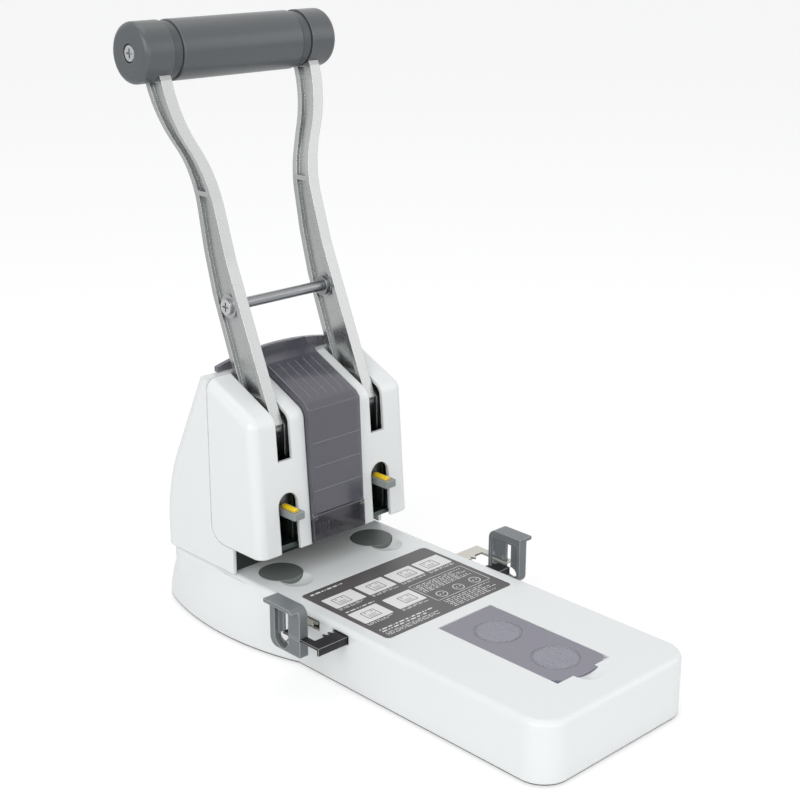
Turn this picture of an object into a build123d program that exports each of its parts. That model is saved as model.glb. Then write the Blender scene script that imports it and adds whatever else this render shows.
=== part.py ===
"""Heavy two-hole lever punch: a steel frame in a white plastic body, a two-armed lever, a clear
chip bin, two geared paper guides and a store for spare cutting boards.

Lengths are in millimetres.  +X is the machine's right as seen from its front, -Y is the front and
+Z is up.  The pieces are drawn with Y = 0 on the line through the two cutting boards and Z = 0 on
the ground, and are moved together at the end so that the origin is the centre of the footprint.
The right-hand punch and head are drawn, and the left-hand ones are their mirror image.
"""
from build123d import *
import math
import os

os.makedirs("parts", exist_ok=True)

# ---------------------------------------------------------------- base
BASE_HALF_WIDTH = 65.5
BASE_FRONT = -251.0
BASE_REAR = 92.3
BASE_TOP = 40.0
SKIRT_BOTTOM = 2.0
BASE_CORNER_RADIUS = 18.0
BASE_EDGE_RADIUS = 4.0
WALL = 2.5
FLARE_RADIUS = 76.6
FLARE_HALF_LENGTH = 128.0
FLARE_CENTRE_Y = 19.4
FLARE_CENTRE_Z = -1.0
FLARE_REAR = 90.5
FLARE_FRONT = -70.0
FLARE_CORNER_RADIUS = 20.0
PLATE_BOTTOM = 2.6
PLATE_THICKNESS = 1.5
FOOT_RADIUS = 8.0
FOOT_INSET = 17.5
FOOT_STEM_RADIUS = 2.4
FOOT_STEM_RISE = 1.5
FOOT_CHAMFER = 0.6
FOOT_ROWS = (-232.0, -110.0, 72.0)
COVER_BOSS_RADIUS = 4.0
COVER_BOSS_INSET = 8.0
COVER_SCREW_LENGTH = 11.0
COVER_BOSS_ROWS = (-225.0, -130.0, -38.0, 66.0)

# ---------------------------------------------------------------- cutting boards and punches
HOLE_SPACING = 80.0
BOARD_RADIUS = 14.1
BOARD_THICKNESS = 5.0
BOARD_PROUD = 0.2
BOARD_GAP = 0.4
SCOOP_RADIUS = 11.0
SCOOP_Y = -15.5
SCOOP_DEPTH = 3.0
SCOOP_BOSS_RADIUS = 15.0
PUNCH_Y = 9.0
EDGE_DISTANCE = 12.0
PUNCH_RADIUS = 3.0
PUNCH_BORE_RADIUS = 2.2
PUNCH_END_GAP = 0.2
PUNCH_FLANGE_RADIUS = 4.5
PUNCH_FLANGE_HEIGHT = 2.8

# ---------------------------------------------------------------- heads and rear housing
THROAT_TOP = 58.0
HEAD_INNER_X = 22.6
HEAD_OUTER_X = 65.3
HEAD_FRONT_BOTTOM_Y = -11.3
HEAD_FRONT_TOP_Y = -4.6
HEAD_FRONT_TOP_Z = 147.8
HEAD_SEAM_Y = 39.0
HEAD_SEAM_TOP_Z = 168.0
HEAD_BROW_RADIUS = 9.0
HEAD_SIDE_RADIUS = 7.0
SEAM_GAP = 0.3
SEAM_CORNER_RADIUS = 12.0
LEVER_SLOT_WIDTH = 11.8
LEVER_SLOT_BOTTOM = 119.0
LEVER_SLOT_REAR = 41.5
ARCH_HALF_WIDTH = 8.0
ARCH_TOP = 97.5
HOUSING_THROAT_Y = 17.0
HOUSING_CREST = (46.0, 168.2)
HOUSING_SHOULDER = (53.0, 164.5)
HOUSING_BEND = (79.9, 109.6)
HOUSING_LOW = (92.3, 56.0)
HOUSING_SIDE_RADIUS = 10.0

# ---------------------------------------------------------------- steel frame
CHEEK_THICKNESS = 3.0
CHEEK_INSIDE = 7.6
CHEEK_BOTTOM = 6.0
CHEEK_FRONT = -3.5
CHEEK_REAR = 62.0
CHEEK_TOP = 150.0
ANVIL_THICKNESS = 6.0
ANVIL_HALF_WIDTH = 53.5
ANVIL_FRONT = -16.0
ANVIL_REAR = 22.0
GUIDE_PLATE_BOTTOM = 58.4
GUIDE_PLATE_THICKNESS = 3.0
GUIDE_PLATE_HALF_WIDTH = 51.4
GUIDE_PLATE_FRONT = -7.0
GUIDE_PLATE_REAR = 23.5
BACK_STOP_THICKNESS = 2.7
BACK_STOP_INSET = 4.0
FRAME_HOLE_GAP = 3.4
FRAME_HOLE_REAR = 82.0
CHIP_WINDOW_Y = (1.0, 12.0)
CHIP_WINDOW_Z = (74.0, 112.0)
FRAME_ROD_RADIUS = 4.0
FRAME_ROD_HEAD = 2.5
FRAME_RODS = ((48.5, 75.0), (48.5, 136.0), (-4.0, 15.0), (48.5, 15.0))

# ---------------------------------------------------------------- lever
PIVOT_Y = 22.0
PIVOT_Z = 129.0
PIVOT_RADIUS = 5.0
SHAFT_FIT = 0.05
HUB_RADIUS = 12.0
LEVER_SWING = 70.0
CRANK_RADIUS = 17.4
CRANK_PIN_RADIUS = 3.0
CRANK_LOBE_RADIUS = 7.0
LEVER_WIDTH = 8.1
LEVER_WEB = 3.0
LEVER_FLANGE = 3.8
ARM_TOE = (-4.45, 10.52)
ARM_FRONT_BENDS = ((42.0, 239.6), (53.9, 276.5))
ARM_REAR_BENDS = ((75.6, 301.4), (64.7, 244.3))
ARM_REAR_LOWER = ((57.0, 216.0), (39.3, 170.3))
ARM_BEND_RADIUS = 60.0
ARM_NECK_HALF_WIDTH = 7.0
ARM_FRONT_NECK = (-15.0, -16.2)
ARM_REAR_NECK = (1.4, -19.5)
ARM_POCKET_BOTTOM = 157.0
ARM_POCKET_MARGIN = 5.8
LEVER_BEND_Z = 270.0
LEVER_SPREAD = 20.0
LEVER_SPREAD_RISE = 80.0
GRIP_Y = 89.7
GRIP_Z = 366.8
GRIP_RADIUS = 19.0
GRIP_HALF_LENGTH = 76.7
GRIP_TUBE_END = 48.0
GRIP_RING_END = 55.7
GRIP_CORE_RADIUS = 6.0
GRIP_GAP = 0.3
TIE_ROD_Y = 41.5
TIE_ROD_Z = 211.0
TIE_ROD_RADIUS = 3.5
TIE_BOSS_RADIUS = 7.5
RIB_Z = 280.0
RIB_THICKNESS = 3.0

# ---------------------------------------------------------------- rams and punch locks
RAM_HALF_WIDTH = 7.5
RAM_FRONT = -1.2
RAM_REAR = 13.5
RAM_TOP = 145.3
RAM_FORK_HALF_GAP = 4.5
RAM_FORK_FLOOR_RISE = 10.2
RAM_SLOT_PLAY = 0.4
RAM_LIFT_GAP = 1.4
SPRING_Y = 19.0
SPRING_RADIUS = 3.2
SPRING_WIRE_RADIUS = 0.6
SPRING_TURNS = 8
RAM_FOOT_BOTTOM = 103.0
RAM_FOOT_HEIGHT = 4.0
LOCK_HALF_WIDTH = 4.5
LOCK_HEIGHT = 4.5
LOCK_TIP = -20.6
LOCK_MARK_RADIUS = 2.2
LOCK_MARK_FRONT = -17.0
LOCK_MARK_REAR = -4.0

# ---------------------------------------------------------------- chip bin
BIN_HALF_WIDTH = 22.2
BIN_WALL = 2.0
BIN_BOTTOM = 61.8
BIN_FRONT_BOTTOM_Y = -13.8
BIN_FRONT_TOP = (-9.5, 148.6)
BIN_BROW = (-6.0, 152.3)
BIN_RAMP_FOOT = (32.0, 170.0)
BIN_LIP_Y = 44.3
BIN_REAR = 38.4
DOOR_TOP = 78.2
DOOR_BOTTOM = 58.8
DOOR_GAP = 0.4
DOOR_BARREL_RADIUS = 1.9
DOOR_PIN_RADIUS = 0.8
DOOR_LUG_WIDTH = 3.0
HOOD_FRONT = 44.6
HOOD_THICKNESS = 3.0
HOOD_HALF_WIDTH = 52.0
HOOD_TOP = 178.5
HOOD_ARC_RADIUS = 207.0
HOOD_PEG_PLACES = (-28.0, 28.0)
HOOD_PEG_HALF_WIDTH = 3.0
HOOD_PEG_DEPTH = 6.0

# ---------------------------------------------------------------- paper guides
MODULE = 1.35
PINION_TEETH = 12
PRESSURE_ANGLE = 25.0
BACKLASH = 0.2
PINION_Y = -73.1
PINION_STUD_RADIUS = 3.0
PINION_THICKNESS = 2.2
RACK_TOP = 36.35
RACK_THICKNESS = 1.5
RACK_FRONT = -92.8
RACK_FLANGE_DROP = 5.0
RACK_END_X = -88.8
RACK_TAIL_X = 79.0
RACK_SLOT_GAP = 0.6
FENCE_X = -82.5
FENCE_THICKNESS = 6.6
FENCE_LIP = 4.9
FENCE_LIP_THICKNESS = 2.4
FENCE_FRONT = -76.0
FENCE_REAR = -48.2
FENCE_BOTTOM = 23.8
FENCE_TOP = 55.9
FENCE_CORNER_RADIUS = 6.0
FENCE_WINDOW = (-65.5, -52.5)
FENCE_WINDOW_TOP = 50.0
FENCE_WEB = 1.5
FENCE_RECESS_DEPTH = 1.7
FENCE_RIM = 2.2
FENCE_HOLE = (-56.8, 28.8)
FENCE_HOLE_RADIUS = 4.6
FENCE_SLOT = (-61.5, -57.5)
FENCE_SLOT_TOP = 49.0
TRAY_TOP = 31.0
TRAY_THICKNESS = 3.0
TRAY_EAR_RADIUS = 4.5
TRAY_POST_RADIUS = 3.5
TRAY_GAP = 1.0
TRAY_MARGIN = 1.6
TRAY_SCREW_INSET = 11.5
TRAY_SCREW_OFFSET = 5.7

# ---------------------------------------------------------------- spare board store and label
LID_REAR = -127.4
LID_FRONT = -221.2
LID_HALF_WIDTH = 22.6
LID_THICKNESS = 2.0
LID_GAP = 0.4
LID_CORNER = 5.0
LID_BARREL_RADIUS = 1.4
LID_PIN_RADIUS = 0.9
LID_PIN_LENGTH = 2.4
LID_TAB_HALF_WIDTH = 9.0
LID_TAB_LENGTH = 3.0
LID_RING_RADIUS = 14.8
LID_RING_WIDTH = 1.0
SPARE_ROWS = (-155.0, -200.5)
STORE_FLOOR = 31.0
STORE_WALL = 2.0
LID_SCOOP_Y = -224.0
LID_SCOOP_RADIUS = 9.5
LID_SCOOP_DEPTH = 1.5
LABEL_HALF_WIDTH = 54.6
LABEL_REAR = -36.6
LABEL_FRONT = -116.6
LABEL_THICKNESS = 0.5
LABEL_CORNER_RADIUS = 3.0
LABEL_GAP = 0.15

# ---------------------------------------------------------------- fixings
SMALL_SCREW_RADIUS = 1.6
SMALL_HEAD_RADIUS = 3.0
SMALL_HEAD_HEIGHT = 1.6
SCREW_FIT = 0.05

# ---------------------------------------------------------------- worked-out places
HALF_SPACING = HOLE_SPACING / 2
CEILING = BASE_TOP - WALL
PLATE_TOP = PLATE_BOTTOM + PLATE_THICKNESS
BOARD_TOP = BASE_TOP + BOARD_PROUD
ANVIL_TOP = BOARD_TOP - BOARD_THICKNESS - 0.05
ANVIL_BOTTOM = ANVIL_TOP - ANVIL_THICKNESS
STOP_Y = PUNCH_Y + EDGE_DISTANCE
COLUMN_FRONT = STOP_Y + BACK_STOP_THICKNESS + 0.1
GUIDE_PLATE_TOP = GUIDE_PLATE_BOTTOM + GUIDE_PLATE_THICKNESS
HALF_SWING = math.radians(LEVER_SWING / 2)
STROKE = 2 * CRANK_RADIUS * math.sin(HALF_SWING)
CRANK_Y = PIVOT_Y - CRANK_RADIUS * math.cos(HALF_SWING)
CRANK_Z = PIVOT_Z + CRANK_RADIUS * math.sin(HALF_SWING)
PUNCH_TIP = BOARD_TOP + PUNCH_END_GAP + STROKE
RAM_BOTTOM = GUIDE_PLATE_TOP + RAM_LIFT_GAP + STROKE
RAM_FORK_FLOOR = RAM_BOTTOM + RAM_FORK_FLOOR_RISE
FRONT_LEAN = (HEAD_FRONT_TOP_Y - HEAD_FRONT_BOTTOM_Y) / (HEAD_FRONT_TOP_Z - THROAT_TOP)
PITCH_RADIUS = MODULE * PINION_TEETH / 2
RACK_PITCH_Y = PINION_Y - PITCH_RADIUS
FOOT_X = BASE_HALF_WIDTH - FOOT_INSET
COVER_BOSS_X = BASE_HALF_WIDTH - COVER_BOSS_INSET
FRAME_HALF_WIDTH = HALF_SPACING + CHEEK_INSIDE + CHEEK_THICKNESS
LOCK_BOTTOM_INSIDE = RAM_BOTTOM + 1.2
LOCK_TOP_INSIDE = RAM_BOTTOM + 3.6
BIN_LEAN = (BIN_FRONT_TOP[0] - BIN_FRONT_BOTTOM_Y) / (BIN_FRONT_TOP[1] - THROAT_TOP)
DOOR_HINGE_Z = DOOR_TOP - DOOR_BARREL_RADIUS
DOOR_HINGE_Y = (BIN_FRONT_BOTTOM_Y + BIN_LEAN * (DOOR_HINGE_Z - THROAT_TOP)
                + DOOR_BARREL_RADIUS)
RACK_SCREW_X = (RACK_END_X + FENCE_X - 0.6) / 2
RACK_SCREW_ROWS = (FENCE_FRONT + 4, FENCE_FRONT + 12)
RACK_FOOT_REAR = FENCE_FRONT + 16
TRAY_SCREW_X = BASE_HALF_WIDTH - TRAY_SCREW_INSET
TRAY_SCREW_FRONT = RACK_FRONT - TRAY_SCREW_OFFSET
TRAY_SCREWS = tuple((x, y) for x in (-TRAY_SCREW_X, TRAY_SCREW_X)
                    for y in (TRAY_SCREW_FRONT, 2 * PINION_Y - TRAY_SCREW_FRONT))
LID_AXIS_Y = LID_REAR - LID_BARREL_RADIUS
LID_AXIS_Z = BASE_TOP - LID_BARREL_RADIUS
FRAME_SHIFT_Y = -(BASE_FRONT + GRIP_Y + GRIP_RADIUS) / 2


# ---------------------------------------------------------------- small helpers
def block(x0, x1, y0, y1, z0, z1):
    """A box between two corners."""
    return Pos((x0 + x1) / 2, (y0 + y1) / 2, (z0 + z1) / 2) * Box(x1 - x0, y1 - y0, z1 - z0)


def rod_x(x0, x1, y, z, radius):
    """A round bar along X."""
    return Pos((x0 + x1) / 2, y, z) * Rot(0, 90, 0) * Cylinder(radius, x1 - x0)


def rod_y(y0, y1, x, z, radius):
    """A round bar along Y."""
    return Pos(x, (y0 + y1) / 2, z) * Rot(90, 0, 0) * Cylinder(radius, y1 - y0)


def rod_z(z0, z1, x, y, radius):
    """A round bar along Z."""
    return Pos(x, y, (z0 + z1) / 2) * Cylinder(radius, z1 - z0)


def side_sheet(face, x0, x1):
    """A face drawn in (Y, Z), made solid from x0 to x1."""
    return Pos(x0, 0, 0) * extrude(Plane.YZ * face, x1 - x0)


def front_sheet(face, y0, y1):
    """A face drawn in (X, Z), made solid from y0 to y1."""
    return Pos(0, y1, 0) * extrude(Plane.XZ * face, y1 - y0)


def plan_sheet(face, z0, z1):
    """A face drawn in (X, Y), made solid from z0 to z1."""
    return Pos(0, 0, z0) * extrude(face, z1 - z0)


def polygon(points):
    """A closed flat face through the points."""
    return make_face(Polyline(*points, close=True))


def rounded_plan(half_width, front, rear, front_radius, rear_radius):
    """A plan outline with its own corner radius at the front and at the rear."""
    front_part = Pos(0, (front + rear) / 2) * RectangleRounded(
        2 * half_width, rear - front, front_radius)
    rear_part = Pos(0, (front + rear) / 2) * RectangleRounded(
        2 * half_width, rear - front, rear_radius)
    middle = (front + rear) / 2
    front_half = front_part & Pos(0, (front + middle) / 2) * Rectangle(
        2 * half_width, middle - front)
    rear_half = rear_part & Pos(0, (rear + middle) / 2) * Rectangle(
        2 * half_width, rear - middle)
    return front_half + rear_half


def mirrored(solid):
    """The same piece for the other side of the machine."""
    return mirror(solid, about=Plane.YZ)


def half_turned(solid):
    """The same piece turned half round about the pinion, for the other paper guide."""
    return Pos(0, PINION_Y, 0) * Rot(0, 0, 180) * Pos(0, -PINION_Y, 0) * solid


def screw_z(x, y, head_z, tip_z):
    """A pan-head screw along Z, its head beyond head_z on the side away from the tip."""
    away = 1 if head_z > tip_z else -1
    shank = rod_z(min(head_z, tip_z), max(head_z, tip_z), x, y, SMALL_SCREW_RADIUS)
    head_end = head_z + away * SMALL_HEAD_HEIGHT
    head = rod_z(min(head_z, head_end), max(head_z, head_end), x, y, SMALL_HEAD_RADIUS)
    recess = Pos(x, y, head_end) * (Box(3.6, 0.8, 1.6) + Box(0.8, 3.6, 1.6))
    return shank + head - recess


# ---------------------------------------------------------------- base cover
def base_block(inset, bottom, top):
    """The base outline with its swept-out flanks, made smaller all round by inset."""
    plan = rounded_plan(BASE_HALF_WIDTH - inset, BASE_FRONT + inset, BASE_REAR - inset,
                        BASE_CORNER_RADIUS - inset, BASE_CORNER_RADIUS - inset)
    body = plan_sheet(plan, bottom, top)
    if inset == 0:
        body = fillet(body.faces().sort_by(Axis.Z)[-1].edges(), BASE_EDGE_RADIUS)
    profile = Plane.XY * (Pos(0, FLARE_CENTRE_Y) * Ellipse(
        FLARE_RADIUS - inset, FLARE_HALF_LENGTH - inset))
    half = profile & Pos(FLARE_RADIUS, FLARE_CENTRE_Y) * Rectangle(
        2 * FLARE_RADIUS, 2 * FLARE_HALF_LENGTH)
    spindle = Pos(0, 0, FLARE_CENTRE_Z) * revolve(half, Axis((0, 0, 0), (0, 1, 0)), 360)
    window = rounded_plan(FLARE_RADIUS + 1 - inset, FLARE_FRONT, FLARE_REAR - inset,
                          1, FLARE_CORNER_RADIUS - inset)
    flare = spindle & plan_sheet(window, bottom, min(top, BASE_TOP - BASE_EDGE_RADIUS / 2))
    return body + flare


def make_base_cover():
    outer = base_block(0, SKIRT_BOTTOM, BASE_TOP)
    cover = outer - base_block(WALL, SKIRT_BOTTOM - 1, CEILING)
    # Thicker ceiling under the finger scoops beside the cutting boards.
    for side in (-1, 1):
        x = side * HALF_SPACING
        cover += rod_z(ANVIL_TOP + 0.3, CEILING, x, SCOOP_Y, SCOOP_BOSS_RADIUS)
    for side in (-1, 1):
        x = side * HALF_SPACING
        ball = (SCOOP_RADIUS ** 2 + SCOOP_DEPTH ** 2) / (2 * SCOOP_DEPTH)
        cover -= Pos(x, SCOOP_Y, BASE_TOP - SCOOP_DEPTH + ball) * Sphere(ball)
        cover -= rod_z(ANVIL_TOP - 1, BASE_TOP + 1, x, 0, BOARD_RADIUS + BOARD_GAP)
    # The steel frame rises through the ceiling behind the back stop.
    hole = FRAME_HALF_WIDTH + FRAME_HOLE_GAP
    cover -= block(-hole, hole, COLUMN_FRONT - 1, FRAME_HOLE_REAR, CEILING - 1, BASE_TOP + 1)
    # Store for two spare cutting boards, with the seat of its lid.
    half = LID_HALF_WIDTH
    store = block(-half - STORE_WALL, half + STORE_WALL, LID_FRONT - STORE_WALL - 1,
                  LID_REAR + STORE_WALL + 1, STORE_FLOOR - STORE_WALL, CEILING)
    cover += store
    for y in SPARE_ROWS:
        cover -= rod_z(STORE_FLOOR, BASE_TOP + 1, 0, y, BOARD_RADIUS + BOARD_GAP)
    seat = half + LID_GAP
    cover -= block(-seat, seat, LID_FRONT - LID_GAP, LID_REAR + LID_GAP,
                   BASE_TOP - LID_THICKNESS - 0.3, BASE_TOP + 1)
    cover -= block(-LID_TAB_HALF_WIDTH - LID_GAP, LID_TAB_HALF_WIDTH + LID_GAP,
                   LID_FRONT - LID_TAB_LENGTH - LID_GAP, LID_FRONT,
                   BASE_TOP - LID_THICKNESS - 0.3, BASE_TOP + 1)
    pin_end = half + LID_PIN_LENGTH + 0.2
    cover -= rod_x(-pin_end, pin_end, LID_AXIS_Y, LID_AXIS_Z, LID_PIN_RADIUS + SHAFT_FIT)
    cover -= rod_x(-seat, seat, LID_AXIS_Y, LID_AXIS_Z, LID_BARREL_RADIUS + LID_GAP)
    ball = (LID_SCOOP_RADIUS ** 2 + LID_SCOOP_DEPTH ** 2) / (2 * LID_SCOOP_DEPTH)
    cover -= Pos(0, LID_SCOOP_Y, BASE_TOP - LID_SCOOP_DEPTH + ball) * Sphere(ball)
    # Shallow seat for the instruction plate.
    label = Pos(0, (LABEL_FRONT + LABEL_REAR) / 2) * RectangleRounded(
        2 * LABEL_HALF_WIDTH + 2 * LABEL_GAP, LABEL_REAR - LABEL_FRONT + 2 * LABEL_GAP,
        LABEL_CORNER_RADIUS + LABEL_GAP)
    cover -= plan_sheet(label, BASE_TOP - LABEL_THICKNESS, BASE_TOP + 1)
    # Side openings that the two racks pass through.
    tooth_tip = RACK_PITCH_Y + MODULE
    reach = FLARE_RADIUS + 5
    slot = block(-reach, reach, RACK_FRONT - RACK_SLOT_GAP, tooth_tip + RACK_SLOT_GAP,
                 RACK_TOP - RACK_FLANGE_DROP - RACK_SLOT_GAP, RACK_TOP + RACK_SLOT_GAP)
    cover -= slot
    cover -= half_turned(slot)
    # Screw posts down to the bottom plate and down to the rack tray.
    for x in (-COVER_BOSS_X, COVER_BOSS_X):
        for y in COVER_BOSS_ROWS:
            cover += rod_z(PLATE_TOP + 0.1, CEILING, x, y, COVER_BOSS_RADIUS)
            cover -= rod_z(PLATE_TOP, PLATE_TOP + COVER_SCREW_LENGTH + 1, x, y, SMALL_SCREW_RADIUS + SCREW_FIT)
    for x, y in TRAY_SCREWS:
        cover += rod_z(TRAY_TOP + 0.1, CEILING, x, y, TRAY_POST_RADIUS)
        cover -= rod_z(TRAY_TOP, CEILING - 0.5, x, y, SMALL_SCREW_RADIUS + SCREW_FIT)
    return cover


def make_base_plate():
    inset = WALL + 0.4
    plan = rounded_plan(BASE_HALF_WIDTH - inset, BASE_FRONT + inset, BASE_REAR - inset,
                        BASE_CORNER_RADIUS - inset, BASE_CORNER_RADIUS - inset)
    plate = plan_sheet(plan, PLATE_BOTTOM, PLATE_TOP)
    for x in (-COVER_BOSS_X, COVER_BOSS_X):
        for y in COVER_BOSS_ROWS:
            plate -= rod_z(0, 10, x, y, SMALL_SCREW_RADIUS + SCREW_FIT)
    for x in (-FOOT_X, FOOT_X):
        for y in FOOT_ROWS:
            plate -= rod_z(0, 10, x, y, FOOT_STEM_RADIUS + 0.1)
    return plate


def make_feet():
    feet = []
    for x in (-FOOT_X, FOOT_X):
        for y in FOOT_ROWS:
            pad = rod_z(0, PLATE_BOTTOM - 0.05, x, y, FOOT_RADIUS)
            pad = chamfer(pad.edges().sort_by(Axis.Z)[0], FOOT_CHAMFER)
            stem = rod_z(PLATE_BOTTOM - 0.05, PLATE_TOP + FOOT_STEM_RISE, x, y, FOOT_STEM_RADIUS)
            feet.append(pad + stem)
    return feet


def make_cover_screws():
    rows = [(x, y) for x in (-COVER_BOSS_X, COVER_BOSS_X) for y in COVER_BOSS_ROWS]
    tip = PLATE_TOP + COVER_SCREW_LENGTH
    return [screw_z(x, y, PLATE_BOTTOM - 0.05, tip) for x, y in rows]


# ---------------------------------------------------------------- steel frame and work plates
def make_cheek(x_inside, windowed):
    """One C-shaped frame plate of the right head; the throat is the gap of the C."""
    rear, top = CHEEK_REAR, CHEEK_TOP
    nose = CHEEK_FRONT
    upper = GUIDE_PLATE_TOP + 0.1
    lower = ANVIL_BOTTOM - 0.05
    outline = [(ANVIL_FRONT - 4, CHEEK_BOTTOM), (rear, CHEEK_BOTTOM), (rear, top - 24),
               (rear - 10, top - 4), (PIVOT_Y + 6, top), (nose + 7, top - 12),
               (nose, top - 32), (nose, upper), (COLUMN_FRONT, upper), (COLUMN_FRONT, lower),
               (ANVIL_FRONT - 4, lower)]
    cheek = side_sheet(polygon(outline), x_inside, x_inside + CHEEK_THICKNESS)
    x0, x1 = x_inside - 1, x_inside + CHEEK_THICKNESS + 1
    cheek -= rod_x(x0, x1, PIVOT_Y, PIVOT_Z, PIVOT_RADIUS + SHAFT_FIT)
    for y, z in FRAME_RODS:
        cheek -= rod_x(x0, x1, y, z, FRAME_ROD_RADIUS + SCREW_FIT)
    if windowed:
        cheek -= block(x0, x1, *CHIP_WINDOW_Y, *CHIP_WINDOW_Z)
    return cheek


def make_frame_rods():
    rods = []
    end = FRAME_HALF_WIDTH
    for y, z in FRAME_RODS:
        rod = rod_x(-end - FRAME_ROD_HEAD, end + FRAME_ROD_HEAD, y, z, FRAME_ROD_RADIUS)
        for side in (-1, 1):
            x0, x1 = sorted((side * (end + 0.05), side * (end + FRAME_ROD_HEAD)))
            rod += rod_x(x0, x1, y, z, FRAME_ROD_RADIUS + FRAME_ROD_HEAD)
        rods.append(rod)
    return rods


def make_anvil():
    plate = block(-ANVIL_HALF_WIDTH, ANVIL_HALF_WIDTH, ANVIL_FRONT, ANVIL_REAR,
                  ANVIL_BOTTOM, ANVIL_TOP)
    return fillet(plate.edges().filter_by(Axis.Z), 3)


def make_guide_plate():
    half = GUIDE_PLATE_HALF_WIDTH
    plate = block(-half, half, GUIDE_PLATE_FRONT, GUIDE_PLATE_REAR,
                  GUIDE_PLATE_BOTTOM, GUIDE_PLATE_TOP)
    for side in (-1, 1):
        plate -= rod_z(0, 100, side * HALF_SPACING, PUNCH_Y, PUNCH_RADIUS + SHAFT_FIT)
    return plate


def make_back_stop():
    half = BASE_HALF_WIDTH - BACK_STOP_INSET
    return block(-half, half, STOP_Y, STOP_Y + BACK_STOP_THICKNESS,
                 BASE_TOP + 0.1, THROAT_TOP - SEAM_GAP)


# ---------------------------------------------------------------- head casings, rear housing
def head_profile(inset):
    """Side view of a head as a face in (Y, Z)."""
    lean = FRONT_LEAN
    bottom = THROAT_TOP + inset
    front = HEAD_FRONT_BOTTOM_Y + inset * math.hypot(1, lean)
    slope = (HEAD_SEAM_TOP_Z - HEAD_FRONT_TOP_Z) / (HEAD_SEAM_Y - HEAD_FRONT_TOP_Y)
    drop = inset * math.hypot(1, slope)
    # Where the leaning front meets the sloping top.
    top_z = HEAD_FRONT_TOP_Z - drop + slope * (front - HEAD_FRONT_TOP_Y)
    corner_z = (top_z - slope * lean * THROAT_TOP) / (1 - slope * lean)
    corner = (front + lean * (corner_z - THROAT_TOP), corner_z)
    rear = HEAD_SEAM_Y + (5 if inset else 0)
    top_rear = (rear, HEAD_SEAM_TOP_Z - drop + slope * (rear - HEAD_SEAM_Y))
    outline = polygon([(front + lean * inset, bottom), (rear, bottom), top_rear, corner])
    corners = outline.vertices()
    brow = corners.sort_by_distance((corner[0], corner[1], 0))[0]
    outline = fillet(brow, HEAD_BROW_RADIUS - inset)
    if not inset:
        heel = outline.vertices().sort_by_distance((rear, bottom, 0))[0]
        outline = fillet(heel, SEAM_CORNER_RADIUS)
    return outline


def make_head_casing():
    casing = side_sheet(head_profile(0), HEAD_INNER_X, HEAD_OUTER_X)
    outer = [edge for edge in casing.edges()
             if abs(edge.center().X - HEAD_OUTER_X) < 0.01
             and edge.center().Y < HEAD_SEAM_Y - 0.5 and edge.center().Z > THROAT_TOP + 0.5
             and not (edge.center().Y > 25 and edge.center().Z < 75)]
    casing = fillet(outer, HEAD_SIDE_RADIUS)
    hollow = side_sheet(head_profile(WALL), HEAD_INNER_X + WALL, HEAD_OUTER_X - WALL)
    inner = [edge for edge in hollow.edges()
             if abs(edge.center().X - HEAD_OUTER_X + WALL) < 0.01
             and edge.center().Y < HEAD_SEAM_Y + 4 and edge.center().Z > THROAT_TOP + WALL + 0.5]
    hollow = fillet(inner, HEAD_SIDE_RADIUS - WALL)
    casing -= hollow
    # The bottom is open round the frame and the punch guide plate.
    x = HALF_SPACING
    casing -= block(x - 12.5, x + 12.5, -9, HEAD_SEAM_Y + 1, THROAT_TOP - 1, THROAT_TOP + WALL + 1)
    casing -= block(HEAD_INNER_X - 1, x, GUIDE_PLATE_FRONT - 0.4, HEAD_SEAM_Y + 1,
                    THROAT_TOP - 1, GUIDE_PLATE_TOP + 0.4)
    # Lever slot, open over the sloping top.
    half = LEVER_SLOT_WIDTH / 2
    casing -= block(x - half, x + half, -30, HEAD_SEAM_Y + 1, LEVER_SLOT_BOTTOM, 200)
    # Arched opening in which the punch lock travels.
    arch = ARCH_HALF_WIDTH
    casing -= block(x - arch, x + arch, -30, 0, 50, ARCH_TOP - arch)
    casing -= rod_y(-30, 0, x, ARCH_TOP - arch, arch)
    # Window that lets chips through to the bin.
    casing -= block(HEAD_INNER_X - 1, HEAD_INNER_X + WALL + 1, CHIP_WINDOW_Y[0] - 1,
                    CHIP_WINDOW_Y[1] + 1, CHIP_WINDOW_Z[0] - 2, CHIP_WINDOW_Z[1] + 2)
    return casing


def housing_profile():
    """Side view of the rear housing as a face in (Y, Z)."""
    front = HEAD_SEAM_Y + SEAM_GAP
    floor = BASE_TOP + SEAM_GAP
    foot_top = THROAT_TOP - SEAM_GAP
    radius = SEAM_CORNER_RADIUS + SEAM_GAP
    crest_front = (front, HEAD_SEAM_TOP_Z)
    lines = [Line((HOUSING_THROAT_Y, floor), (HOUSING_THROAT_Y, foot_top)),
             Line((HOUSING_THROAT_Y, foot_top), (front - radius, foot_top)),
             RadiusArc((front - radius, foot_top), (front, foot_top + radius), -radius),
             Line((front, foot_top + radius), crest_front),
             Line(crest_front, HOUSING_CREST),
             Line(HOUSING_CREST, HOUSING_SHOULDER),
             Line(HOUSING_SHOULDER, HOUSING_BEND)]
    start = lines[-1] % 1
    lines.append(TangentArc(HOUSING_BEND, HOUSING_LOW, tangent=start))
    lines.append(Line(HOUSING_LOW, (HOUSING_LOW[0], floor)))
    lines.append(Line((HOUSING_LOW[0], floor), (HOUSING_THROAT_Y, floor)))
    return make_face(Curve() + lines)


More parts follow.
